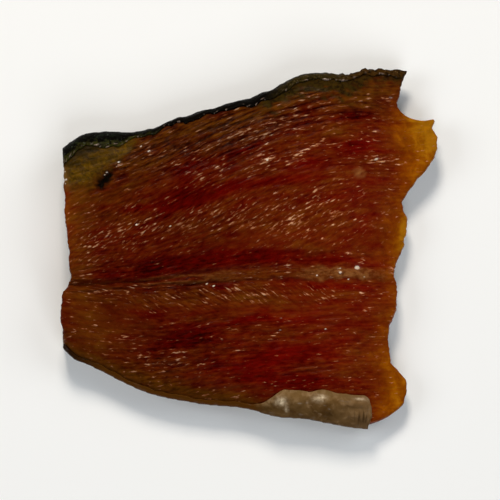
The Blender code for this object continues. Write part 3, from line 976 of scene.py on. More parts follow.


# %% Rows of tiny wet tips with painted glints
# (x, y at the start, x, y at the end, half width).
GLINT_ROWS = [
    (5.4, 22.3, 9.2, 24, 0.22), (-0.4, 16.4, 3.6, 17.9, 0.22), (8.8, 14.8, 12.4, 17, 0.12),
    (2.6, 13.4, 4.5, 14.2, 0.3), (20.9, 19, 22.7, 19.1, 0.2), (21.3, 14.3, 22.8, 14.4, 0.14),
    (22.8, 25.2, 24, 25.5, 0.25), (-18.7, 17.2, -10.8, 19.8, 0.16), (-6.4, 21.4, 1, 24, 0.16),
    (-18, 3, -14.6, 4.2, 0.14), (-23.2, 11.8, -21.3, 13.3, 0.35),
    (-18.6, 16.5, -16.4, 15.2, 0.28),
]
GLINT_ROW_END = 0.5


def glint_rows(x, y):
    """1 along the rows of wet tips, where more glints are painted, and 0 away from them."""
    share = np.zeros_like(x)
    for start_x, start_y, end_x, end_y, half in GLINT_ROWS:
        length = math.hypot(end_x - start_x, end_y - start_y)
        on_x, on_y = (end_x - start_x) / length, (end_y - start_y) / length
        along = (x - start_x) * on_x + (y - start_y) * on_y
        aside = (y - start_y) * on_x - (x - start_x) * on_y
        past = np.maximum(np.maximum(-along, along - length), 0)
        share = np.maximum(share, bump(past, aside, GLINT_ROW_END, half))
    return share


# %% Fat corner
TOP_LAYER = 0.8
# The lower edge of the fat at the left of the back: (x, y).
FAT_EDGE = [(-32, 7.2), (-28, 7.9), (-26, 8.7), (-24.4, 10.6), (-21, 13.2), (-18, 16)]
FAT_END = (-17.5, 3)
FAT_RUN = 2.6
FAT_WANDER = [(33, 1.1, 1.8, 1.6)]
# On the wall of the cut the edge slants, and it is more uneven.
FAT_SLANT = 0.55
FAT_ON_CUT = [(58, 1.6, 1.4, 2.2)]
# A rim of painted light along the upper edge of the cut.
FAT_RIM_REACH = (1.4, 1.2)
FAT_RIM_END = (14, 2)
FAT_RIM_SHARE = 0.7
FAT_RIM_NOISE = [(56, 0.4, 0.7, 0.5)]

at_top = ease(1 - (top - z) / TOP_LAYER)
from_midline = y - curve_through(MIDLINE, x)
fat = y - curve_through(FAT_EDGE, x) + uneven(FAT_WANDER, x, y)
fat = fat - FAT_SLANT * (top - z) + uneven(FAT_ON_CUT, z, y) * (1 - at_top)
fat = ease(fat / FAT_RUN) * fade(x, *FAT_END)
fat_rim_light = fade(left, *FAT_RIM_REACH) * fade(y, *FAT_RIM_END) * at_top
fat_rim_light = fat_rim_light * (FAT_RIM_SHARE + uneven(FAT_RIM_NOISE, x, y))
print("share of the vertices in the fat corner:", round(float(fat.mean()), 3))

# %% Painted shade and green edges
EDGE_SHADE = 0.8
BELLY_SHADE = (0.7, 0.7)
BELLY_SHADE_END = (-12, 6)
BACK_SHADE = (1.4, 0.8)
FOOT_SHADE = (0.9, 0.8)
# How wide the green strip along the back is, and how much wider at the far left.
OLIVE_WIDTH = 5.2
OLIVE_START = (-1, 5)
OLIVE_NARROWS = 0.35
OLIVE_NARROWER = (17, 5)
OLIVE_WIDER = 6.6
OLIVE_LEFT = (-22, 5)
OLIVE_NOISE = [(38, 0.45, 1.4, 0.9)]
OLIVE_CALM_ON_FAT = 0.35
OLIVE_RUN = 2.6

# Painted shade: darker flesh beside the skin at the belly and the back, and at the foot of the
# walls.
belly_shade = EDGE_SHADE * fade(belly, *BELLY_SHADE) * fade(x, *BELLY_SHADE_END)
back_shade = EDGE_SHADE * fade(back, *BACK_SHADE)
foot_shade = fade(z - low, *FOOT_SHADE)
shade_beside_skin = np.maximum(np.maximum(belly_shade, back_shade), foot_shade)

narrowed = 1 - OLIVE_NARROWS * grow(x, *OLIVE_NARROWER)
olive_reach = OLIVE_WIDTH * grow(x, *OLIVE_START) * narrowed
olive_reach = olive_reach + OLIVE_WIDER * fade(x, *OLIVE_LEFT)
olive_noise = uneven(OLIVE_NOISE, x, y) * (1 - OLIVE_CALM_ON_FAT * fat)
olive = ease((olive_reach * (1 + olive_noise) - back) / (OLIVE_RUN + fat))

# %% Gloss and ribs
DULL_AT_BACK = 0.7
DULL_REACH = (14, 7)
DULL_FAT = 0.8
# The bundles show as ribs of colour, and of painted shade in their creases, above a slanting
# line.
RIBS_SLANT = 0.30
RIBS_START = (14, 4)
RIBS_STRETCH = (-11, 9, 23, 4)
RIBS_OFF_BACK = (1, 2)
MEAN_RIB = 0.64

gloss = (1 - DULL_AT_BACK * fade(back, *DULL_REACH)) * (1 - DULL_FAT * fat)
ribbed = grow(y - RIBS_SLANT * x, *RIBS_START) * within(x, *RIBS_STRETCH)
ribbed = ribbed * grow(back, *RIBS_OFF_BACK)
print("share of the vertices with ribs:", round(float(ribbed.mean()), 3))


# %% Store the zones
def store(piece, zones):
    """Keeps one number for each vertex under each name, as attributes of the mesh."""
    for name, values in zones.items():
        attribute = piece.data.attributes.new(name, "FLOAT", "POINT")
        attribute.data.foreach_set("value", np.asarray(values, np.float32))


def store_map(piece, name, along, across):
    """A UV map in millimetres, for patterns that follow the grain."""
    grain = piece.data.uv_layers.new(name=name)
    corners = read_all(piece.data.loops, "vertex_index", 1, int)[:, 0]
    flat = np.stack([along[corners], across[corners]], axis=-1)
    grain.data.foreach_set("uv", flat.astype(np.float32).ravel())


FULL_CREST = 0.22
BAND_START = (-20, 4)
# How far the grain runs on down the cut wall, and how it lies on the slanting marks.
CUT_GRAIN = 5.0
MARK_ALONG = 0.3
MARK_ACROSS = 0.85

zones = {
    "tone": flesh_tone(x, y),
    "margin": margin_share(x, y),
    "glow": painted_glow_share(right, y),
    "soft": softness(x, y),
    "bright": brightness(x, y, back),
    # Beads of oil: a wet coat, and a painted highlight in the colour.
    "wet": beads(x, y)[0] * at_top,
    "pearl": pearl(x, y),
    "gloss": gloss * (1 - pit_share(x, y)),
    # Pale flecks: dry fibre tips and painted glints.
    "dry": dry_tips_and_glints(x, y, back),
    "glints": glint_rows(x, y),
    "fat": fat,
    "fat_rim_light": fat_rim_light,
    "band": band_share(x, y) * curve_through(BAND_COVER, x) * grow(x, *BAND_START),
    "band_pale": curve_through(BAND_PALE, x),
    "crest": np.clip(fibres / FULL_CREST, -1, 1),
    "rib": ribbed * (creased(drifted(x, level) / BUNDLE) - MEAN_RIB),
    "pit": pit_share(x, y),
    "shade_beside_skin": shade_beside_skin,
    "olive": olive,
    "crossed": feather_share(x, from_midline),
}
store(flesh, zones)
store_map(flesh, "grain", x - CUT_GRAIN * (top - z), level)
across_marks = feather_level(x, from_midline) * MARK_ACROSS
store_map(flesh, "feather", x + MARK_ALONG * from_midline, across_marks)
print("zones of the flesh:", ", ".join(zones))

# %% [markdown]
# ## Modelling the skin
#
# The skin is a second grid, bent round the flesh: from the flap on top of the belly edge,
# under the whole piece, to the lip on top of the back edge. Solidify gives it thickness,
# and a vertex group lets it taper to a fine edge where it lies on the flesh.

# %% Skin measures, in millimetres
SKIN_ALONG = 150
UNDER_LINES = 176
LIP_LINES = 14
SKIN_AROUND = UNDER_LINES + 2 * LIP_LINES
# Where the skin ends at the right: (share from belly to back, x).
SKIN_END = [
    (0, 21.4), (0.06, 21.9), (0.1, 22.1), (0.5, 23.6), (0.8, 24), (0.93, 24.6), (0.98, 25.4),
    (1, 26.3),
]
# How far each lip reaches onto the flesh.
BACK_LIP = [
    (-31, 2.9), (-27, 2.7), (-22, 2.8), (-19.5, 1.6), (-17, 1.2), (-8, 1.2), (0, 1.6), (9, 1.6),
    (17, 1), (28, 0.8),
]
LEAST_BACK_LIP = 0.5
BACK_RAGGED = 2.6
FLAP_LIP = [
    (-1.2, -0.6), (1.4, 0.4), (3.2, 1.2), (4.4, 2.3), (5.4, 3.3), (7.9, 3.9), (11.2, 3.9),
    (12.8, 4.5), (15.4, 4.5), (18.6, 4.8), (20.1, 4.8), (21, 3.7), (21.5, 1.4),
]
BELLY_LIP = 0.35
FLAP_RAGGED = 0.6
RAGGED = [(41, 0.22, 1.6), (42, 0.12, 0.6)]


# %% Skin sheet
def skin_stations(u):
    """Shares v round the piece for each place along it, and which of them lie on top."""
    run = LEFT_X + u * (SKIN_END[0][1] - LEFT_X)
    back_run = LEFT_X + u * (SKIN_END[-1][1] - LEFT_X)
    half = curve_through(MIDLINE, run) - curve_through(BELLY_EDGE, run)
    rest = curve_through(BACK_EDGE, back_run) - curve_through(MIDLINE, back_run)
    half, rest = half + RIM_FILL, rest + RIM_FILL + curve_through(BACK_STANDS, back_run)
    ragged = uneven(RAGGED, run)
    belly_lip = np.maximum(curve_through(FLAP_LIP, run), BELLY_LIP) + FLAP_RAGGED * ragged
    back_lip = curve_through(BACK_LIP, back_run) + BACK_RAGGED * ragged
    back_lip = np.maximum(back_lip, LEAST_BACK_LIP)
    lip = np.linspace(1, 0, LIP_LINES + 1)[:-1]
    even = np.linspace(0, 1, UNDER_LINES + 1)
    under = gathered(even, UNDER_LINES, BELLY_ROLL, BACK_ROLL, WIDTH)
    stations = [
        np.outer(belly_lip / half / 2, lip),
        np.tile(under, (len(u), 1)),
        1 - np.outer(back_lip / rest / 2, lip[::-1]),
    ]
    v = np.concatenate(stations, axis=1)
    on_top = np.zeros(v.shape[1], bool)
    on_top[:LIP_LINES] = on_top[-LIP_LINES:] = True
    return v, on_top


FIBRES_THROUGH_SKIN = 0.6

bpy.ops.object.select_all(action="DESELECT")
bpy.ops.mesh.primitive_grid_add(x_subdivisions=SKIN_ALONG, y_subdivisions=SKIN_AROUND, size=2)
skin = start_piece("salmon_skin")
column, row = grid_lines(vertex_places(skin.data), SKIN_ALONG, SKIN_AROUND)
u_lines = np.linspace(0, 1, SKIN_ALONG + 1)
v_lines, on_top = skin_stations(u_lines)
v = v_lines[column, row]
u = u_lines[column] * (curve_through(SKIN_END, v) - LEFT_X) / (RIGHT_X - LEFT_X)
x, y, edges = plan(u, v, lobes=0.0)
relief, fibres, level = surface_relief(x, y, edges)
relief = relief - (1 - FIBRES_THROUGH_SKIN) * fibres
low, high = flesh_heights(x, y, v, edges, relief)
z = np.where(on_top[row], high, low)
sheet = np.stack([x - PLAN_CENTRE[0], y - PLAN_CENTRE[1], z], axis=-1)
place_vertices(skin, sheet)
bpy.ops.object.mode_set(mode="EDIT")
bpy.ops.mesh.select_all(action="SELECT")
bpy.ops.mesh.flip_normals()
bpy.ops.object.mode_set(mode="OBJECT")
print("skin sheet:", sheet.min(0).round(2), sheet.max(0).round(2))

# %% [markdown]
# Salmon scales lie in staggered rows, and each one covers the front of the next one
# towards the tail, which is on the left here. For every point the scale nearest to the
# head that reaches it is on top, and it rises towards its free edge. Dried skin also
# shrinks into soft wrinkles along the fish.

# %% Scales
SCALE_ALONG = 1.75
SCALE_ACROSS = 1.9
SCALE_REACH = 1.5
SCALE_HALF = 1.12
SCALE_HEIGHT = 0.11
SCALE_BACK = -0.6
SCALE_LEVEL = 0.35
SCALE_RIM = 0.28


def scales(along, around):
    """Height share of the scales, 0 to 1, and how near the point is to a free edge."""
    first = np.floor(along / SCALE_ALONG).astype(int)
    height = np.zeros_like(along)
    edge = np.zeros_like(along)
    free = np.ones(along.shape, bool)
    for step in (2, 1, 0, -1):
        number = first + step
        shift = 0.5 * (number % 2)
        lane = np.rint(around / SCALE_ACROSS - shift)
        from_head = (number * SCALE_ALONG - along) / SCALE_REACH
        aside = (around - (lane + shift) * SCALE_ACROSS) / SCALE_HALF
        away = np.hypot(from_head, aside)
        hit = free & (away < 1) & (from_head > SCALE_BACK)
        height = np.where(hit, SCALE_LEVEL + (1 - SCALE_LEVEL) * from_head, height)
        edge = np.where(hit, ease((away - 1 + SCALE_RIM) / SCALE_RIM), edge)
        free = free & ~hit
    return height, np.where(free, 1.0, edge)


# %% Round the skin: how far along its width each row lies
SCALE_WANDER = [(43, 0.25, 3, 3)]

rows_step = np.zeros((SKIN_ALONG + 1, SKIN_AROUND + 1, 3))
rows_step[column, row] = sheet
paces = np.linalg.norm(np.diff(rows_step, axis=1), axis=2)
around_lines = np.concatenate([np.zeros((SKIN_ALONG + 1, 1)), np.cumsum(paces, axis=1)], axis=1)
around = around_lines[column, row] - around_lines[:, LIP_LINES][column]
scale_height, scale_edge = scales(x + uneven(SCALE_WANDER, x, around), around)
print("width of the skin, rim to rim:", around_lines[:, -1].mean().round(1), "mm")

# %% Lift the skin off the flesh
BELLY_SIDE = 0.4
LIP_WRINKLES = [(44, 0.10, 6, 1.6), (45, 0.08, 1.6, 0.9)]
LIP_RISE = 3
BELLY_WRINKLES = 0.4
FLAP_START = (2.5, 3)
FLAP_RISE = 2.5
FLAP_FALL = 3
FLAP_PUFF = 0.34
FLAP_FOLDS = [(49, 0.18, 3.2, 1.7), (50, 0.07, 1.3, 2.5)]
PLEAT = 0.15
PLEAT_TURN = 6.5
PLEATS_START = (18.5, 1.5)
PLEAT_WANDER = [(53, 2, 2, 2)]

outward = read_all(skin.data.vertices, "normal", 3)
lip_place = np.clip(np.minimum(row, SKIN_AROUND - row) / LIP_LINES, 0, 1)
on_lip = lip_place < 1
belly_side = v < BELLY_SIDE
wrinkles = np.abs(uneven(LIP_WRINKLES, x, around)) * ease(lip_place * LIP_RISE)
wrinkles = np.where(on_lip, wrinkles * np.where(belly_side, BELLY_WRINKLES, 1.0), 0)
flap = ease(lip_place * FLAP_RISE) * ease((1 - lip_place) * FLAP_FALL)
flap = flap * grow(x, *FLAP_START) * belly_side
pleats = np.sin(PLEAT_TURN * x + uneven(PLEAT_WANDER, x, around))
folds = FLAP_PUFF + uneven(FLAP_FOLDS, x, around)
folds = folds + PLEAT * pleats * grow(x, *PLEATS_START)
lift = CLEARANCE + wrinkles + flap * folds
place_vertices(skin, sheet + outward * lift[:, None])

# %% Zones of the skin
# Painted highlights of wet shine, and painted shade of the flap's creases:
# (x, y, half length, half width, slope, how much).
SHINES = [
    (5.7, -27.2, 0.8, 0.5, 0, 1), (12.2, -26.9, 1, 0.4, 0, 1), (6.6, -28.3, 0.25, 0.25, 0, 1),
    (19.3, -27, 1, 0.2, 0, 1),
]
SHINE_SHARE = 0.8
SHINE_GRAIN = [(54, 0.8, 0.5, 0.4)]
CREASES = [
    (17.6, -28.3, 2.6, 0.3, 0, 0.55), (13.9, -29.1, 0.7, 0.5, 0, 0.6),
    (8.6, -29.4, 1.6, 0.3, 0, 0.3),
]
# Where fine crinkles are painted as dark lines of shade.
CRINKLED = [(19.2, -29.7, 1.3, 1.0, 0, 1)]

shine = patched(0, SHINES, x, y) * (SHINE_SHARE + uneven(SHINE_GRAIN, x, y))
zones = {
    "around": v,
    "lip": 1 - lip_place,
    "free_edge": scale_edge,
    "along": x,
    "shine": np.where(on_lip, np.clip(shine, 0, 1), 0),
    "crease": np.where(on_lip, patched(0, CREASES, x, y), 0),
    "crinkled": patched(0, CRINKLED, x, y),
}
store(skin, zones)
store_map(skin, "grain", x, around)
print("zones of the skin:", ", ".join(zones))

# %% Thickness of the skin
# Shares of the full thickness that the skin has at its rims and at its fine edges.
RIM_SHARE = 0.50
EDGE_SHARE = 0.35
EDGE_RISE = 1.5
UNDER_RUN = 3.5
FULLY_UNDER = 0.98
LIP_SCALES = 0.6
# Small teeth that stand up on the rim at the right of the back.
TEETH = [(46, 0.6, 0.9)]
TEETH_PLACE = 18.5
TEETH_HALF = 6.0
TEETH_START = (0.93, 0.07)
TEETH_REACH = 1.2
PINCH = [(47, 0.072, 4, 2.2), (48, 0.036, 1.2, 1.2)]
THINNEST = 0.2

rim_distance = np.minimum(edges[2], edges[3])
under_share = ease(rim_distance / UNDER_RUN)
on_top_share = EDGE_SHARE + (RIM_SHARE - EDGE_SHARE) * ease(lip_place * EDGE_RISE)
share = np.where(on_lip, on_top_share, RIM_SHARE + (1 - RIM_SHARE) * under_share)
scaly = SCALE_HEIGHT * (1 - scale_height) * np.where(on_lip, LIP_SCALES, 1.0)
pinch = uneven(PINCH, x, around)
pinch = np.where(under_share > FULLY_UNDER, -np.abs(pinch), pinch)
teeth = np.maximum(uneven(TEETH, x), 0) * bump(x - TEETH_PLACE, 0, TEETH_HALF, 1)
teeth = teeth * grow(v, *TEETH_START) * (rim_distance < TEETH_REACH)
depth = np.maximum(SKIN_THICKNESS * share - scaly + pinch + teeth, THINNEST)
print("skin is", depth.min().round(2), "to", depth.max().round(2), "mm thick")

# %% Make the skin solid
TAPER_STEPS = 200

taper = skin.vertex_groups.new(name="taper")
steps = np.rint(depth / depth.max() * TAPER_STEPS).astype(int)
for step in np.unique(steps):
    taper.add(np.flatnonzero(steps == step).tolist(), step / TAPER_STEPS, "REPLACE")
solid = skin.modifiers.new("thickness", "SOLIDIFY")
solid.thickness = depth.max() * MM
solid.offset = 1.0
solid.vertex_group = "taper"
bpy.ops.object.modifier_apply(modifier="thickness")
skin.data.shade_smooth()
places = vertex_places(skin.data)
print("skin box:", places.min(0).round(5), places.max(0).round(5))
print("skin triangles:", triangles(skin.data))

# %% [markdown]
# ## Tools for the materials
#
# A material is a small network. These helpers add a node with its inputs in one line, so
# that a finish below reads from top to bottom.


# %% Helpers for nodes
class Network:
    """Adds nodes to the network of a material or of a node group."""

    def __init__(self, tree):
        self.tree = tree

    def feed(self, node, inputs):
        """Links other sockets to a node's inputs, or sets their values."""
        for socket, value in inputs.items():
            if isinstance(value, bpy.types.NodeSocket):
                self.tree.links.new(value, node.inputs[socket])
            else:
                node.inputs[socket].default_value = value

    def add(self, kind, inputs, **settings):
        """Adds a node, sets it up and feeds its inputs."""
        node = self.tree.nodes.new("ShaderNode" + kind)
        for name, value in settings.items():
            setattr(node, name, value)
        self.feed(node, inputs)
        return node

    def zone(self, name):
        """The value of one of the stored zones."""
        return self.add("Attribute", {}, attribute_name=name).outputs["Fac"]

    def step(self, operation, a, b, clamp=False):
        """One step of arithmetic."""
        node = self.add("Math", {0: a, 1: b}, operation=operation, use_clamp=clamp)
        return node.outputs[0]

    def times(self, value, *others):
        """All the values multiplied."""
        for other in others:
            value = self.step("MULTIPLY", value, other)
        return value

    def highest(self, value, *others):
        """The highest of the values."""
        for other in others:
            value = self.step("MAXIMUM", value, other)
        return value

    def total(self, base, *parts):
        """The base plus each value times its factor, from (value, factor) parts."""
        for value, factor in parts:
            inputs = {0: value, 1: factor, 2: base}
            base = self.add("Math", inputs, operation="MULTIPLY_ADD").outputs[0]
        return base

    def centred(self, noise):
        """A noise value that swings round 0."""
        return self.step("SUBTRACT", noise, 0.5)

    def spread(self, value, low, high):
        """Stretches a value so that low becomes 0 and high becomes 1."""
        inputs = {"Value": value, "From Min": low, "From Max": high}
        return self.add("MapRange", inputs).outputs["Result"]

    def blend(self, share, a, b):
        """Mixes two values by a share from 0 to 1."""
        return self.add("Mix", {0: share, 2: a, 3: b}).outputs[0]

    def mix(self, share, a, b):
        """Mixes two colours by a share from 0 to 1."""
        return self.add("Mix", {0: share, 6: a, 7: b}, data_type="RGBA").outputs[2]

    def over(self, colour, *layers):
        """Lays colours over a colour, one after the other, from (share, colour) layers."""
        for share, layer in layers:
            colour = self.mix(share, colour, layer)
        return colour

    def dim(self, colour, factor):
        """A colour made brighter or darker."""
        node = self.add("VectorMath", {0: colour, "Scale": factor}, operation="SCALE")
        return node.outputs[0]

    def ramp(self, value, stops):
        """Reads a colour from (place, colour) stops."""
        node = self.add("ValToRGB", {"Fac": value})
        elements = node.color_ramp.elements
        while len(elements) < len(stops):
            elements.new(0.5)
        for element, (place, colour) in zip(elements, stops):
            element.position = place
            element.color = colour
        return node.outputs["Color"]

    def group(self, group, **values):
        """Places a shared group with its own values and returns its output."""
        return self.add("Group", values, node_tree=group).outputs[0]


# %% Helpers for materials
def paint(red, green, blue):
    """A colour as a paint chart gives it, 0 to 255, in the linear values that Blender mixes."""
    linear = []
    for part in (red, green, blue):
        share = part / 255
        linear.append(share / 12.92 if share <= 0.04045 else ((share + 0.055) / 1.055) ** 2.4)
    return (*linear, 1.0)


def new_material(name):
    """A material, its network, and the Principled BSDF that is its surface."""
    material = bpy.data.materials.new(name)
    material.use_nodes = True
    tree = material.node_tree
    return material, Network(tree), tree.nodes["Principled BSDF"]


# %% [markdown]
# Flesh and skin share three effects, so each is built once as a node group: streaks that
# follow the grain map, fine wrinkles from drying, and the uneven film of oil that makes
# some places wet and others dull.


# %% Shared node groups
def new_group(name, output, **inputs):
    """A node group with float inputs and one output: its network, its inputs and its end."""
    tree = bpy.data.node_groups.new(name, "ShaderNodeTree")
    for label, value in inputs.items():
        socket = tree.interface.new_socket(label, in_out="INPUT", socket_type="NodeSocketFloat")
        socket.default_value = value
    tree.interface.new_socket(output, in_out="OUTPUT", socket_type="NodeSocketFloat")
    given = tree.nodes.new("NodeGroupInput").outputs
    return Network(tree), given, tree.nodes.new("NodeGroupOutput")


def make_streaks(name, map_name):
    """Noise drawn out along the grain. Length and Width are in millimetres."""
    net, given, end = new_group(name, "Streak", Length=6.0, Width=0.6, Shift=0.0)
    grain = net.add("UVMap", {}, uv_map=map_name)
    parts = net.add("SeparateXYZ", {"Vector": grain.outputs["UV"]})
    along = net.step("DIVIDE", parts.outputs["X"], given["Length"])
    across = net.step("DIVIDE", parts.outputs["Y"], given["Width"])
    place = net.add("CombineXYZ", {"X": along, "Y": across, "Z": given["Shift"]})
    looks = {"Scale": 1.0, "Detail": 3.0, "Distortion": 0.25}
    noise = net.add("TexNoise", {"Vector": place.outputs[0], **looks})
    net.feed(end, {"Streak": noise.outputs["Fac"]})
    return net.tree


def noise_of_size(net, size, **looks):
    """Noise in the piece's own coordinates, with lumps of this size in millimetres."""
    where = net.add("TexCoord", {})
    scale = net.step("DIVIDE", 1 / MM, size)
    noise = net.add("TexNoise", {"Vector": where.outputs["Object"], "Scale": scale, **looks})
    return noise.outputs["Fac"]


def make_wrinkles():
    """Fine drying wrinkles, as a height from 0 to 1. Size is in millimetres."""
    net, given, end = new_group("drying wrinkles", "Height", Size=0.8)
    height = noise_of_size(net, given["Size"], Detail=4.0, Roughness=0.6, Distortion=0.6)
    net.feed(end, {"Height": height})
    return net.tree


def make_oil():
    """Roughness of a surface with an uneven film of oil."""
    net, given, end = new_group("oil film", "Roughness", Wet=0.2, Dry=0.5, Size=5.0)
    film = net.spread(noise_of_size(net, given["Size"], Detail=3.0), 0.35, 0.65)
    gap = net.step("SUBTRACT", given["Dry"], given["Wet"])
    net.feed(end, {"Roughness": net.total(given["Wet"], (film, gap))})
    return net.tree


grain_streaks = make_streaks("grain streaks", "grain")
cross_streaks = make_streaks("cross streaks", "feather")
drying_wrinkles = make_wrinkles()
oil_film = make_oil()
print("node groups:", ", ".join(group.name for group in bpy.data.node_groups))


# %% Patterns for a finish
def streak(net, length, width, shift):
    """Streaks along the grain. Length and width are in millimetres."""
    return net.group(grain_streaks, Length=length, Width=width, Shift=shift)


def cross_streak(net, length, width, shift):
    """Streaks along the slanting marks."""
    return net.group(cross_streaks, Length=length, Width=width, Shift=shift)


def wrinkle(net, size):
    """Wrinkles of this size, in millimetres."""
    return net.group(drying_wrinkles, Size=size)


def oil(net, wet, dry, size):
    """Roughness between its wet and its dry value, in lumps of this size."""
    return net.group(oil_film, Wet=wet, Dry=dry, Size=size)


def bumpy(net, height, strength):
    """The bent normal of a surface with this fine relief."""
    relief = {"Height": height, "Strength": strength, "Distance": 0.10 * MM}
    return net.add("Bump", relief).outputs["Normal"]


# %% [markdown]
# ## The finish of the flesh
# One ramp holds all the colours of the flesh, from the deep red of the thick core through
# amber to olive, and another one those of the thin margin, whose yellow is partly its own
# colour and partly painted light that shines through it. Streaks along the fibres shift each
# place up or down the ramp. Light that enters the flesh and comes out again, which Blender
# calls subsurface scattering, softens it a little, and the glow of the thin lobes is painted
# into the margin's ramp.

# %% Colours of the flesh
DEEP_RED = (0.080, 0.0012, 0.0003, 1.0)
RED = (0.086, 0.0042, 0.0007, 1.0)
BROWN_RED = (0.086, 0.0100, 0.0011, 1.0)
AMBER = (0.088, 0.0165, 0.0014, 1.0)
OLIVE = (0.092, 0.0245, 0.0016, 1.0)
MARGIN_ORANGE = (0.185, 0.0245, 0.0003, 1.0)
MARGIN_YELLOW = (0.235, 0.0600, 0.0008, 1.0)
MARGIN_PAINTED_GLOW = (0.310, 0.1150, 0.0030, 1.0)
FAT = (0.088, 0.0420, 0.0022, 1.0)
FAT_DULL = (0.052, 0.0250, 0.0034, 1.0)
FAT_RIM_LIGHT = (0.160, 0.0750, 0.0160, 1.0)
SKIN_GREEN = (0.030, 0.0185, 0.0028, 1.0)
SKIN_DARK = (0.008, 0.0060, 0.0016, 1.0)
MEMBRANE = (0.240, 0.0880, 0.0230, 1.0)
MEMBRANE_SHADE = (0.120, 0.0300, 0.0050, 1.0)
MEMBRANE_OLIVE = (0.100, 0.0270, 0.0026, 1.0)
MEMBRANE_DARK = (0.060, 0.0090, 0.0008, 1.0)
PEARL = (0.300, 0.1150, 0.0300, 1.0)
PIT_BLACK = (0.0035, 0.0020, 0.0010, 1.0)
SKIN_SHADE = (0.022, 0.0080, 0.0018, 1.0)
# A painted highlight on the wet beads.
PAINTED_GLINT = (0.62, 0.50, 0.38, 1.0)
# Pale flecks along the fibres: dry tips and painted glints, and the brightest painted glints.
PALE_TIP_AND_PAINTED_GLINT = (0.310, 0.1020, 0.0400, 1.0)
BRIGHT_PAINTED_GLINT = (0.540, 0.3000, 0.1700, 1.0)
FLESH_STOPS = [(0.0, DEEP_RED), (0.26, RED), (0.52, BROWN_RED), (0.76, AMBER), (1.0, OLIVE)]
MARGIN_STOPS = [(0.20, MARGIN_ORANGE), (0.70, MARGIN_YELLOW), (1.0, MARGIN_PAINTED_GLOW)]
DARKEST = 0.18


# %% Plain flesh and its thin margin
def plain_flesh(net, long_streak, swing, crest, rib):
    """The colour of the flesh, streaked along its fibres, with painted shade in the creases
    between them.
    """
    broad = net.centred(streak(net, length=7.0, width=1.5, shift=0.0))
    blotch = net.centred(wrinkle(net, 2.2))
    tone = net.total(net.zone("tone"), (broad, 0.80), (blotch, 0.60), (long_streak, 0.75))
    tone = net.total(tone, (swing, 0.55), (crest, 0.16), (rib, 0.26))
    bright = net.total(net.zone("bright"), (long_streak, 1.15), (swing, 1.75), (blotch, 0.55))
    # Crests and ribs also lighten the ridges and darken the creases: painted shade.
    bright = net.total(bright, (crest, 0.36), (rib, 0.46))
    return net.dim(net.ramp(tone, FLESH_STOPS), net.highest(bright, DARKEST))


def with_margin(net, colour, long_streak, swing):
    """The colour with the thin yellow margin laid over it, and a painted glow at its rims."""
    margin = net.zone("margin")
    cloud = net.centred(wrinkle(net, 1.9))
    edge = net.times(net.total(margin, (long_streak, 0.6), (cloud, 1.3)), 0.7)
    edge = net.total(edge, (net.zone("glow"), 0.5))
    ripple = net.total(1.0, (swing, 0.35), (cloud, 1.1))
    margin_colour = net.dim(net.ramp(edge, MARGIN_STOPS), ripple)
    reached = net.spread(net.total(margin, (cloud, 0.6)), 0.05, 0.95)
    return net.mix(reached, colour, margin_colour)


# %% Fat, membrane and the green edge
def fat_colour(net):
    """Crumbly pale fat, with a rim of painted light on the cut."""
    colour = net.mix(net.spread(wrinkle(net, 1.0), 0.40, 0.60), FAT_DULL, FAT)
    curds = net.centred(wrinkle(net, 0.55))
    colour = net.dim(colour, net.total(1.0, (curds, 2.2)))
    return net.mix(net.zone("fat_rim_light"), colour, FAT_RIM_LIGHT)


def membrane_colour(net, dashes):
    """The band on the midline, pale in some stretches and dull in others."""
    patchy = net.total(wrinkle(net, 1.0), (dashes, 0.6))
    pale = net.mix(net.spread(patchy, 0.70, 0.92), MEMBRANE_SHADE, MEMBRANE)
    dull = net.mix(net.spread(patchy, 0.66, 0.90), MEMBRANE_DARK, MEMBRANE_OLIVE)
    return net.mix(net.zone("band_pale"), dull, pale)


def green_colour(net):
    """The speckled green of the flesh beside the skin of the back."""
    colour = net.mix(net.spread(wrinkle(net, 0.8), 0.44, 0.60), SKIN_GREEN, SKIN_DARK)
    return net.dim(colour, net.total(1.0, (net.zone("fat"), -0.45)))


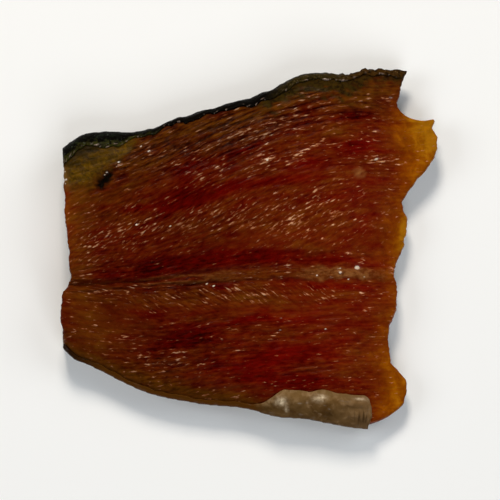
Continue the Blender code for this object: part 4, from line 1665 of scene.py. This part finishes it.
# %% Flesh material
def flesh_material():
    """Oily, see-through fish flesh."""
    material, net, surface = new_material("dried salmon flesh")
    crest, crossed, rib = net.zone("crest"), net.zone("crossed"), net.zone("rib")
    crisp = net.total(1.0, (net.zone("soft"), -0.7))
    long_streak = net.centred(streak(net, length=3.2, width=0.5, shift=5.0))
    long_streak = net.times(long_streak, crisp)
    dash = streak(net, length=1.2, width=0.42, shift=7.0)
    cross_dash = cross_streak(net, length=1.4, width=0.40, shift=2.0)
    dashes = net.blend(crossed, dash, cross_dash)
    swing = net.times(net.centred(dashes), crisp)

    # Pale flecks along the fibres: dry tips and painted glints, the brightest of them painted
    # glints alone.
    fleck = streak(net, length=1.25, width=0.36, shift=11.0)
    cross_fleck = cross_streak(net, length=1.15, width=0.36, shift=13.0)
    fleck = net.blend(crossed, fleck, cross_fleck)
    fleck = net.total(fleck, (net.zone("dry"), 0.19), (long_streak, 0.40), (crest, 0.03))
    fleck = net.total(fleck, (rib, 0.15), (net.zone("glints"), 0.12))
    tip = net.mix(net.spread(fleck, 0.75, 0.85), PALE_TIP_AND_PAINTED_GLINT, BRIGHT_PAINTED_GLINT)
    fleck = net.spread(fleck, 0.68, 0.79)

    colour = plain_flesh(net, long_streak, swing, crest, rib)
    colour = with_margin(net, colour, long_streak, swing)
    colour = net.over(
        colour,
        (net.times(net.zone("pearl"), 0.75), PEARL),
        (net.times(fleck, 0.9), net.dim(tip, net.zone("bright"))),
        (net.zone("fat"), fat_colour(net)),
        (net.zone("band"), membrane_colour(net, dashes)),
        (net.times(net.zone("olive"), 0.9), green_colour(net)),
        # Painted shade beside the skin.
        (net.times(net.zone("shade_beside_skin"), 0.75), SKIN_SHADE),
        (net.spread(net.zone("pit"), 0.12, 0.80), PIT_BLACK),
        # A painted highlight on each wet bead of oil.
        (net.spread(net.zone("wet"), 0.30, 0.65), PAINTED_GLINT),
    )
    height = net.total(net.times(dashes, 0.5), (wrinkle(net, 0.5), 0.3), (fleck, 0.6))
    finish = {
        "Base Color": colour,
        "Roughness": oil(net, wet=0.13, dry=0.24, size=3.0),
        "Normal": bumpy(net, height, strength=0.6),
        "Coat Weight": net.highest(net.times(fleck, 0.18, net.zone("gloss")), net.zone("wet")),
        "Coat Roughness": 0.14,
        "IOR": 1.40,
        "Specular IOR Level": 0.01,
        "Specular Tint": (1.0, 0.80, 0.65, 1.0),
        "Subsurface Weight": 0.15,
        "Subsurface Radius": (1.0, 0.30, 0.08),
        "Subsurface Scale": 0.6 * MM,
    }
    net.feed(surface, finish)
    print("flesh material:", len(net.tree.nodes), "nodes")
    return material


flesh.data.materials.clear()
flesh.data.materials.append(flesh_material())

# %% [markdown]
# ## The finish of the skin
#
# The back of a salmon is black-green, its flank is grey and its belly is silver. Dried skin
# keeps that, only browner. The scales are darker at their free edges, which is painted
# shade, and a painted sheen lies on their faces.

# %% Colours of the skin
BACK_BLACK = paint(7, 5, 3)
BACK_GREEN = paint(44, 35, 9)
FLANK_GREY = paint(56, 46, 28)
BELLY_SILVER = paint(108, 86, 56)
FLAP_PALE = paint(110, 82, 47)
FLAP_BROWN = paint(76, 51, 22)
FLAP_PAINTED_SHEEN = paint(142, 112, 78)
BACK_PAINTED_GLINT = paint(128, 108, 96)
BACK_MOSS = paint(22, 28, 18)
BACK_VERGE = paint(50, 48, 14)
BACK_PAINTED_GLINT_SPECKS = paint(92, 98, 92)
FLAP_PAINTED_HIGHLIGHT = paint(212, 190, 158)
FLAP_SHADE = paint(48, 31, 12)
FLAP_BLUSH = paint(120, 92, 62)
BACK_SPECK = paint(104, 86, 56)
SCALE_SHADE = paint(12, 9, 5)
PAINTED_SCALE_SHEEN = paint(50, 47, 32)
CORNER_BROWN = paint(58, 36, 9)
RIM_BROWN = paint(40, 20, 6)
RIM_AMBER = paint(82, 46, 9)
# From the belly to the back.
SKIN_STOPS = [
    (0.0, BELLY_SILVER),
    (0.30, BELLY_SILVER),
    (0.52, FLANK_GREY),
    (0.74, BACK_GREEN),
    (0.90, BACK_BLACK),
]


# %% The flap and the corner of the back
def flap_colour(net, along, lip):
    """The silver flap: pale cushions, paler towards the upper edge as painted light, with
    painted sheen and highlights, painted shade in its creases, and an amber rim at the left.
    """
    rise = net.total(wrinkle(net, 2.6), (lip, 0.35))
    colour = net.mix(net.spread(rise, 0.44, 0.84), FLAP_BROWN, FLAP_PALE)
    soft = net.total(wrinkle(net, 1.3), (lip, 0.12))
    crinkles = net.spread(streak(net, length=0.55, width=3.0, shift=21.0), 0.50, 0.60)
    crinkles = net.times(crinkles, net.zone("crinkled"))
    grains = net.total(-0.75, (wrinkle(net, 0.55), 3.2))
    rim = net.mix(net.spread(along, -30.0, -24.0), RIM_BROWN, RIM_AMBER)
    return net.over(
        colour,
        (net.spread(soft, 0.60, 0.90), FLAP_PAINTED_SHEEN),
        (net.times(net.spread(along, 14.5, 19.5), 0.45), FLAP_BLUSH),
        (net.highest(net.zone("crease"), net.times(crinkles, 0.8)), FLAP_SHADE),
        (net.step("MULTIPLY", net.zone("shine"), grains, clamp=True), FLAP_PAINTED_HIGHLIGHT),
        (net.spread(along, 3.0, 1.0), rim),
    )


def corner_colour(net, along, fine, specks):
    """The back's lip at the right: brown-green with dark and pale specks."""
    colour = net.mix(net.spread(along, 13.0, 20.0), BACK_GREEN, CORNER_BROWN)
    dark = (net.spread(fine, 0.50, 0.66), BACK_BLACK)
    return net.over(colour, dark, (net.spread(specks, 0.60, 0.70), BACK_SPECK))


# %% Skin material
def skin_material():
    """Dried fish skin: dark back, silver belly, and scales."""
    material, net, surface = new_material("dried salmon skin")
    around, along, lip = net.zone("around"), net.zone("along"), net.zone("lip")
    free_edge = net.zone("free_edge")
    mottling, fine, specks = wrinkle(net, 2.4), wrinkle(net, 0.7), wrinkle(net, 0.32)
    belly_side = net.step("LESS_THAN", around, 0.4)
    back_side = net.step("SUBTRACT", 1.0, belly_side)

    bare = net.times(net.spread(lip, 0.02, 0.0), net.spread(around, 0.62, 0.85))
    bare = net.times(bare, net.spread(around, 1.0, 0.992))
    # A painted sheen on the faces of the scales, away from the lips.
    face = net.times(bare, net.spread(free_edge, 0.6, 0.0), net.spread(mottling, 0.30, 0.65))
    on_belly_lip = net.times(net.spread(lip, 0.0, 0.02), belly_side)
    on_flap = net.highest(on_belly_lip, net.spread(around, 0.05, 0.0))
    on_back_lip = net.spread(lip, 0.0, 0.35)
    at_right = net.times(back_side, net.spread(along, 3.0, 8.0))
    lump = net.times(on_back_lip, back_side, net.spread(along, -14.0, -20.0))
    verge = net.spread(net.total(lip, (fine, 1.4)), 1.36, 1.78)
    # Painted glints, as pale specks on the black lump.
    glint_specks = net.times(net.spread(specks, 0.62, 0.70), 0.60)
    # Painted glints along the tip of the back's lip, where the coat is wet too.
    tips = net.spread(streak(net, length=0.9, width=0.6, shift=9.0), 0.56, 0.68)
    tips = net.times(tips, net.spread(lip, 0.80, 0.94))

    wander = net.total(around, (net.centred(mottling), 0.3))
    colour = net.over(
        net.ramp(wander, SKIN_STOPS),
        (net.times(free_edge, 0.5), SCALE_SHADE),
        (net.times(face, 0.6), PAINTED_SCALE_SHEEN),
        (on_flap, flap_colour(net, along, lip)),
        (net.times(on_back_lip, at_right), corner_colour(net, along, fine, specks)),
        (net.times(lump, net.spread(fine, 0.50, 0.66)), BACK_MOSS),
        (net.times(verge, lump), BACK_VERGE),
        (net.times(glint_specks, lump), BACK_PAINTED_GLINT_SPECKS),
        (net.times(tips, back_side), BACK_PAINTED_GLINT),
    )
    rough = net.times(wrinkle(net, 0.45), net.total(1.0, (on_flap, -0.8)))
    wet = net.spread(streak(net, length=1.2, width=0.4, shift=3.0), 0.58, 0.70)
    sheen = net.times(net.spread(around, 0.90, 0.70), 0.12)
    sheen = net.highest(sheen, net.times(tips, 0.3), net.times(bare, 0.10))
    finish = {
        "Base Color": colour,
        "Roughness": oil(net, wet=0.20, dry=0.42, size=2.0),
        "Normal": bumpy(net, rough, strength=0.7),
        "Coat Weight": net.blend(on_belly_lip, sheen, net.times(wet, 0.5)),
        "Coat Roughness": 0.16,
        "Specular IOR Level": 0.005,
    }
    net.feed(surface, finish)
    print("skin material:", len(net.tree.nodes), "nodes")
    return material


skin.data.materials.clear()
skin.data.materials.append(skin_material())

# %% [markdown]
# ## Join the frame
#
# The two pieces ride on the model's one body and stand for its two solids.

# %% Ride and replace
for piece, node in ((flesh, "flesh"), (skin, "skin")):
    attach(piece, "root")
    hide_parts(node)
